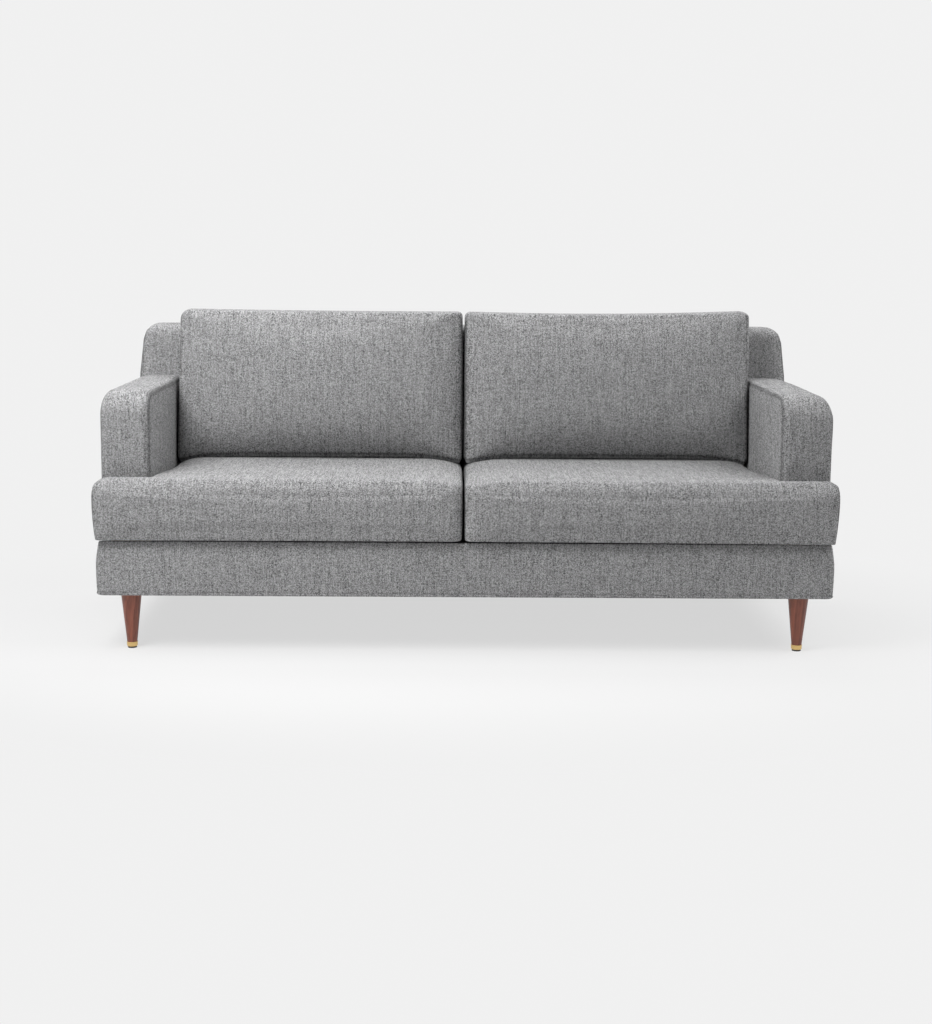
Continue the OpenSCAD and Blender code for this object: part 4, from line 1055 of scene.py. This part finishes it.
def thinCloth(node):
    look = thin[node]
    work = bmesh.new()
    work.from_mesh(nodes[node].data)
    bmesh.ops.remove_doubles(work, verts=work.verts, dist=0.00001)
    low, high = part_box(node)
    for axis in range(3):
        way = Vector([float(n == axis) for n in range(3)])
        count = int((high[axis] - low[axis]) / look["step"][axis]) if look["step"][axis] else 0
        for n in range(1, count):
            cut = work.verts[:] + work.edges[:] + work.faces[:]
            bmesh.ops.bisect_plane(work, geom=cut, plane_co=low + way * n * look["step"][axis], plane_no=way)
    for vert in work.verts:
        if node == "dust_cover":
            along = (vert.co.y - low.y) / (high.y - low.y)
            bay = abs(vert.co.x) / high.x
            vert.co.z -= look["sag"] * math.sin(math.pi * along) * math.sin(math.pi * bay)
        else:
            across, up = (math.pi * place / look["wave"] for place in (vert.co.x, vert.co.z))
            vert.co.y += look["sag"] * math.sin(across) * math.sin(up)
    mesh = bpy.data.meshes.new(look["name"])
    for face in work.faces:
        face.smooth = abs(face.normal.x) < 0.5
    closeMesh(work, mesh, look["name"])
    return addObject(look["name"], mesh)


# Zips: two tapes with rows of teeth between them
zipper = {"tooth": (0.0016, 0.0032, 0.0014), "pitch": 0.0032, "gap": 0.0006, "slack": 0.003, "bevel": 0.0003}


def makeTeethTree():
    group = bpy.data.node_groups.new("zipTeeth", "GeometryNodeTree")
    kinds = {"Tape": "Geometry", "Count": "Int", "Start": "Vector", "Step": "Vector", "Tooth": "Vector",
             "Metal": "Material"}
    for label, kind in kinds.items():
        group.interface.new_socket(label, in_out="INPUT", socket_type="NodeSocket" + kind)
    group.interface.new_socket("Zip", in_out="OUTPUT", socket_type="NodeSocketGeometry")
    t = Tree(group)
    given, out = t.add("NodeGroupInput").outputs, t.add("NodeGroupOutput").inputs
    line = t.add("GeometryNodeMeshLine", mode="OFFSET")
    t.fill(line, {"Count": given["Count"], "Start Location": given["Start"], "Offset": given["Step"]})
    tooth = t.add("GeometryNodeMeshCube")
    t.put(tooth.inputs["Size"], given["Tooth"])
    copies = t.add("GeometryNodeInstanceOnPoints")
    t.fill(copies, {"Points": line.outputs[0], "Instance": tooth.outputs["Mesh"]})
    real = t.add("GeometryNodeRealizeInstances")
    t.put(real.inputs[0], copies.outputs[0])
    paint = t.add("GeometryNodeSetMaterial")
    t.fill(paint, {"Geometry": real.outputs[0], "Material": given["Metal"]})
    both = t.add("GeometryNodeJoinGeometry")
    t.put(both.inputs[0], paint.outputs[0])
    t.put(both.inputs[0], given["Tape"])
    t.put(out[0], both.outputs[0])
    return group


teethTree = makeTeethTree()


def makeZip(name, node):
    low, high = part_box(node)
    flat = 1 if high.y - low.y < high.z - low.z else 2
    across = 3 - flat
    mesh = bpy.data.meshes.new(name)
    work = bmesh.new()
    middle = (low[across] + high[across]) / 2
    for start, end in ((low[across], middle - zipper["gap"]), (middle + zipper["gap"], high[across])):
        size, centre = high - low, (high + low) / 2
        size[across], centre[across] = end - start, (start + end) / 2
        size[flat] *= 0.5
        matrix = Matrix.Translation(centre) @ Matrix.Diagonal((*size, 1))
        bmesh.ops.create_cube(work, size=1, matrix=matrix)
    bmesh.ops.bevel(work, geom=work.edges[:], offset=zipper["bevel"], segments=2, affect="EDGES")
    closeMesh(work, mesh, "zipTape")
    piece = addObject(name, mesh)
    start = (low + high) / 2
    start.x = low.x + zipper["slack"]
    size = Vector(zipper["tooth"])
    if flat == 1:
        size.y, size.z = size.z, size.y
    values = {"Count": int((high.x - low.x - 2 * zipper["slack"]) / zipper["pitch"]), "Start": start,
              "Step": (zipper["pitch"], 0, 0), "Tooth": size, "Metal": materials["zipMetal"]}
    teeth = piece.modifiers.new("teeth", "NODES")
    teeth.node_group = teethTree
    for socket in teethTree.interface.items_tree:
        if socket.name in values:
            teeth[socket.identifier] = values[socket.name]
    keepMesh(piece)
    return piece


cushions = {"seat": (seatPanels, "seat_cover", 0.8), "back": (pillowPanels, "back_cushion", 0.75)}
for side, sign in sides.items():
    dress(sew(f"armCloth_{side}", armPanels(side), sign), "root", "upholstery", f"arm_cover_{side}", fill=0.8)
    for kind, (panels, cover, fill) in cushions.items():
        cushion = sew(f"{kind}Cushion_{side}", panels(side), sign)
        settle(cushion)
        body = f"{kind}_{side}"
        core = foamOf(cushion, f"{kind}Foam_{side}", foam[kind])
        dress(cushion, body, "upholstery", f"{cover}_{side}", fill=fill)
        dress(core, body, "foam", f"{kind}_core_{side}", fill=0.8)
        tape = makeZip(f"{kind}Zip_{side}", f"{kind}_zip_{side}")
        dress(tape, body, "zip_tape", f"{kind}_zip_{side}")
dress(sew("backCloth", backPanels()), "root", "upholstery", "back_cover", fill=0.8)
dress(sew("baseCloth", basePanels()), "root", "upholstery", "base_border", fill=0.7)
deck = sew("deckCloth", padPanels(*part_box("seat_deck"), **deckPad), material="deckCloth")
dress(deck, "root", "deck_cloth", "seat_deck", fill=0.9)
dress(thinCloth("back_webbing"), "root", "webbing", "back_webbing")
under = dress(thinCloth("dust_cover"), "root", "dust_cloth", "dust_cover")
print("cloth pieces sewn")


# Carried-over solids get their finishes by slot
finishes = {"upholstery": "upholstery", "foam": "foam", "frame_wood": "frameBirch", "hardboard": "hardboard",
            "leg_wood": "legWalnut", "ferrule_brass": "ferruleBrass", "glide": "glidePlastic",
            "fastener_steel": "fastenerSteel", "spring_steel": "springSteel", "zip_metal": "zipMetal",
            "zip_tape": "zipTape", "dust_cloth": "dustCloth", "webbing": "webbing", "deck_cloth": "deckCloth"}
for part in frame["record"]["subparts"]:
    solid = nodes[part["node"]]
    solid.data.materials.clear()
    solid.data.materials.append(materials[finishes[part["material_slot"]]])


# The room: a pale floor that fades into a pale ground, and wide lamps above, behind and at both sides
room = {"ground": (0.875,) * 3, "floorColour": 0.80, "speckle": {"size": 60.0, "dark": 0.985},
        "shadeReach": (0.75, 1.5), "shade": 0.25, "shadeStretch": (0.8, 1.1, 1), "shadeDepth": 1.03,
        "fadeReach": (2.2, 3.6), "floorSize": 12.0, "worldStrength": 0.02}
lamps = {
    "overRight": {"place": (2.4, -0.6, 3.0), "aim": (0.2, -0.1, 0.4), "size": (2.0, 2.0), "power": 81},
    "behind": {"place": (0, 1.4, 2.8), "aim": (0, 0, 0.5), "size": (2.4, 1.2), "power": 39},
    "frontLeft": {"place": (-1.5, -1.6, 2.2), "aim": (0, -0.2, 0.5), "size": (1.2, 1.2), "power": 48},
    "overLeft": {"place": (-1.4, -0.6, 2.4), "aim": (-0.3, -0.2, 0.5), "size": (1.4, 1.2), "power": 32},
    "lowLeft": {"place": (-2.0, -4.2, 1.6), "aim": (0, 0, 0.4), "size": (2.0, 1.6), "power": 9},
    "lowRight": {"place": (1.8, -3.6, 1.5), "aim": (0, 0, 0.5), "size": (1.6, 1.2), "power": 6},
}


def addGround():
    world = bpy.data.worlds.new("ground")
    bpy.context.scene.world = world
    world.use_nodes = True
    t = Tree(world.node_tree)
    lit = world.node_tree.nodes["Background"]
    t.fill(lit, {"Color": (1, 1, 1), "Strength": room["worldStrength"]})
    seen = t.add("ShaderNodeBackground")
    t.fill(seen, {"Color": room["ground"]})
    both = t.mixShaders(t.seenRays(), lit.outputs[0], seen.outputs[0])
    t.put(world.node_tree.nodes["World Output"].inputs["Surface"], both)


def addFloor():
    size = room["floorSize"]
    mesh = bpy.data.meshes.new("floor")
    corners = [(-size, -size, 0), (size, -size, 0), (size, size, 0), (-size, size, 0)]
    mesh.from_pydata(corners, [], [(0, 1, 2, 3)])
    floor = addObject("floor", mesh)
    material, t, shader, place = startMaterial("floor")
    speckle = t.noise(place, room["speckle"]["size"])
    tones = [(room["floorColour"] * level,) * 3 for level in (1, room["speckle"]["dark"])]
    t.fill(shader, {"Base Color": t.mix(speckle, *tones), "Roughness": 0.9, "Specular IOR Level": 0.1})
    # To the camera the floor glows with the ground's own tone; near the sofa the glow is dimmed and a share
    # of the lamp-lit floor is added, so the real shadow shows there only at that share, and the glow is
    # painted light that fills the rest of the shadow
    near = t.distance(t.stretch(place, room["shadeStretch"]))
    shade = t.fade(near, *room["shadeReach"], room["shade"], 0.0)
    glow = t.add("ShaderNodeEmission")
    dimmed = t.sum("MULTIPLY_ADD", shade, -room["shadeDepth"], 1.0)
    t.fill(glow, {"Color": room["ground"], "Strength": dimmed})
    lit = t.add("ShaderNodeAddShader")
    t.fill(lit, {0: glow.outputs[0], 1: t.mixShaders(shade, None, shader.outputs[0])})
    seen = t.mixShaders(t.seenRays(), shader.outputs[0], lit.outputs[0])
    clear = t.add("ShaderNodeBsdfTransparent").outputs[0]
    both = t.mixShaders(t.fade(t.distance(place), *room["fadeReach"]), seen, clear)
    t.put(material.node_tree.nodes["Material Output"].inputs["Surface"], both)
    mesh.materials.append(material)


def addLamps():
    for name, lamp in lamps.items():
        data = bpy.data.lights.new(name, "AREA")
        data.shape = "RECTANGLE"
        data.size, data.size_y = lamp["size"]
        data.energy = lamp["power"]
        light = addObject(name, data)
        light.location = lamp["place"]
        aim = Vector(lamp["aim"]) - Vector(lamp["place"])
        light.rotation_euler = aim.to_track_quat("-Z", "Y").to_euler()


addCamera()
addGround()
addFloor()
addLamps()
bpy.context.scene.view_settings.view_transform = "Standard"
print("camera, floor and lamps placed")
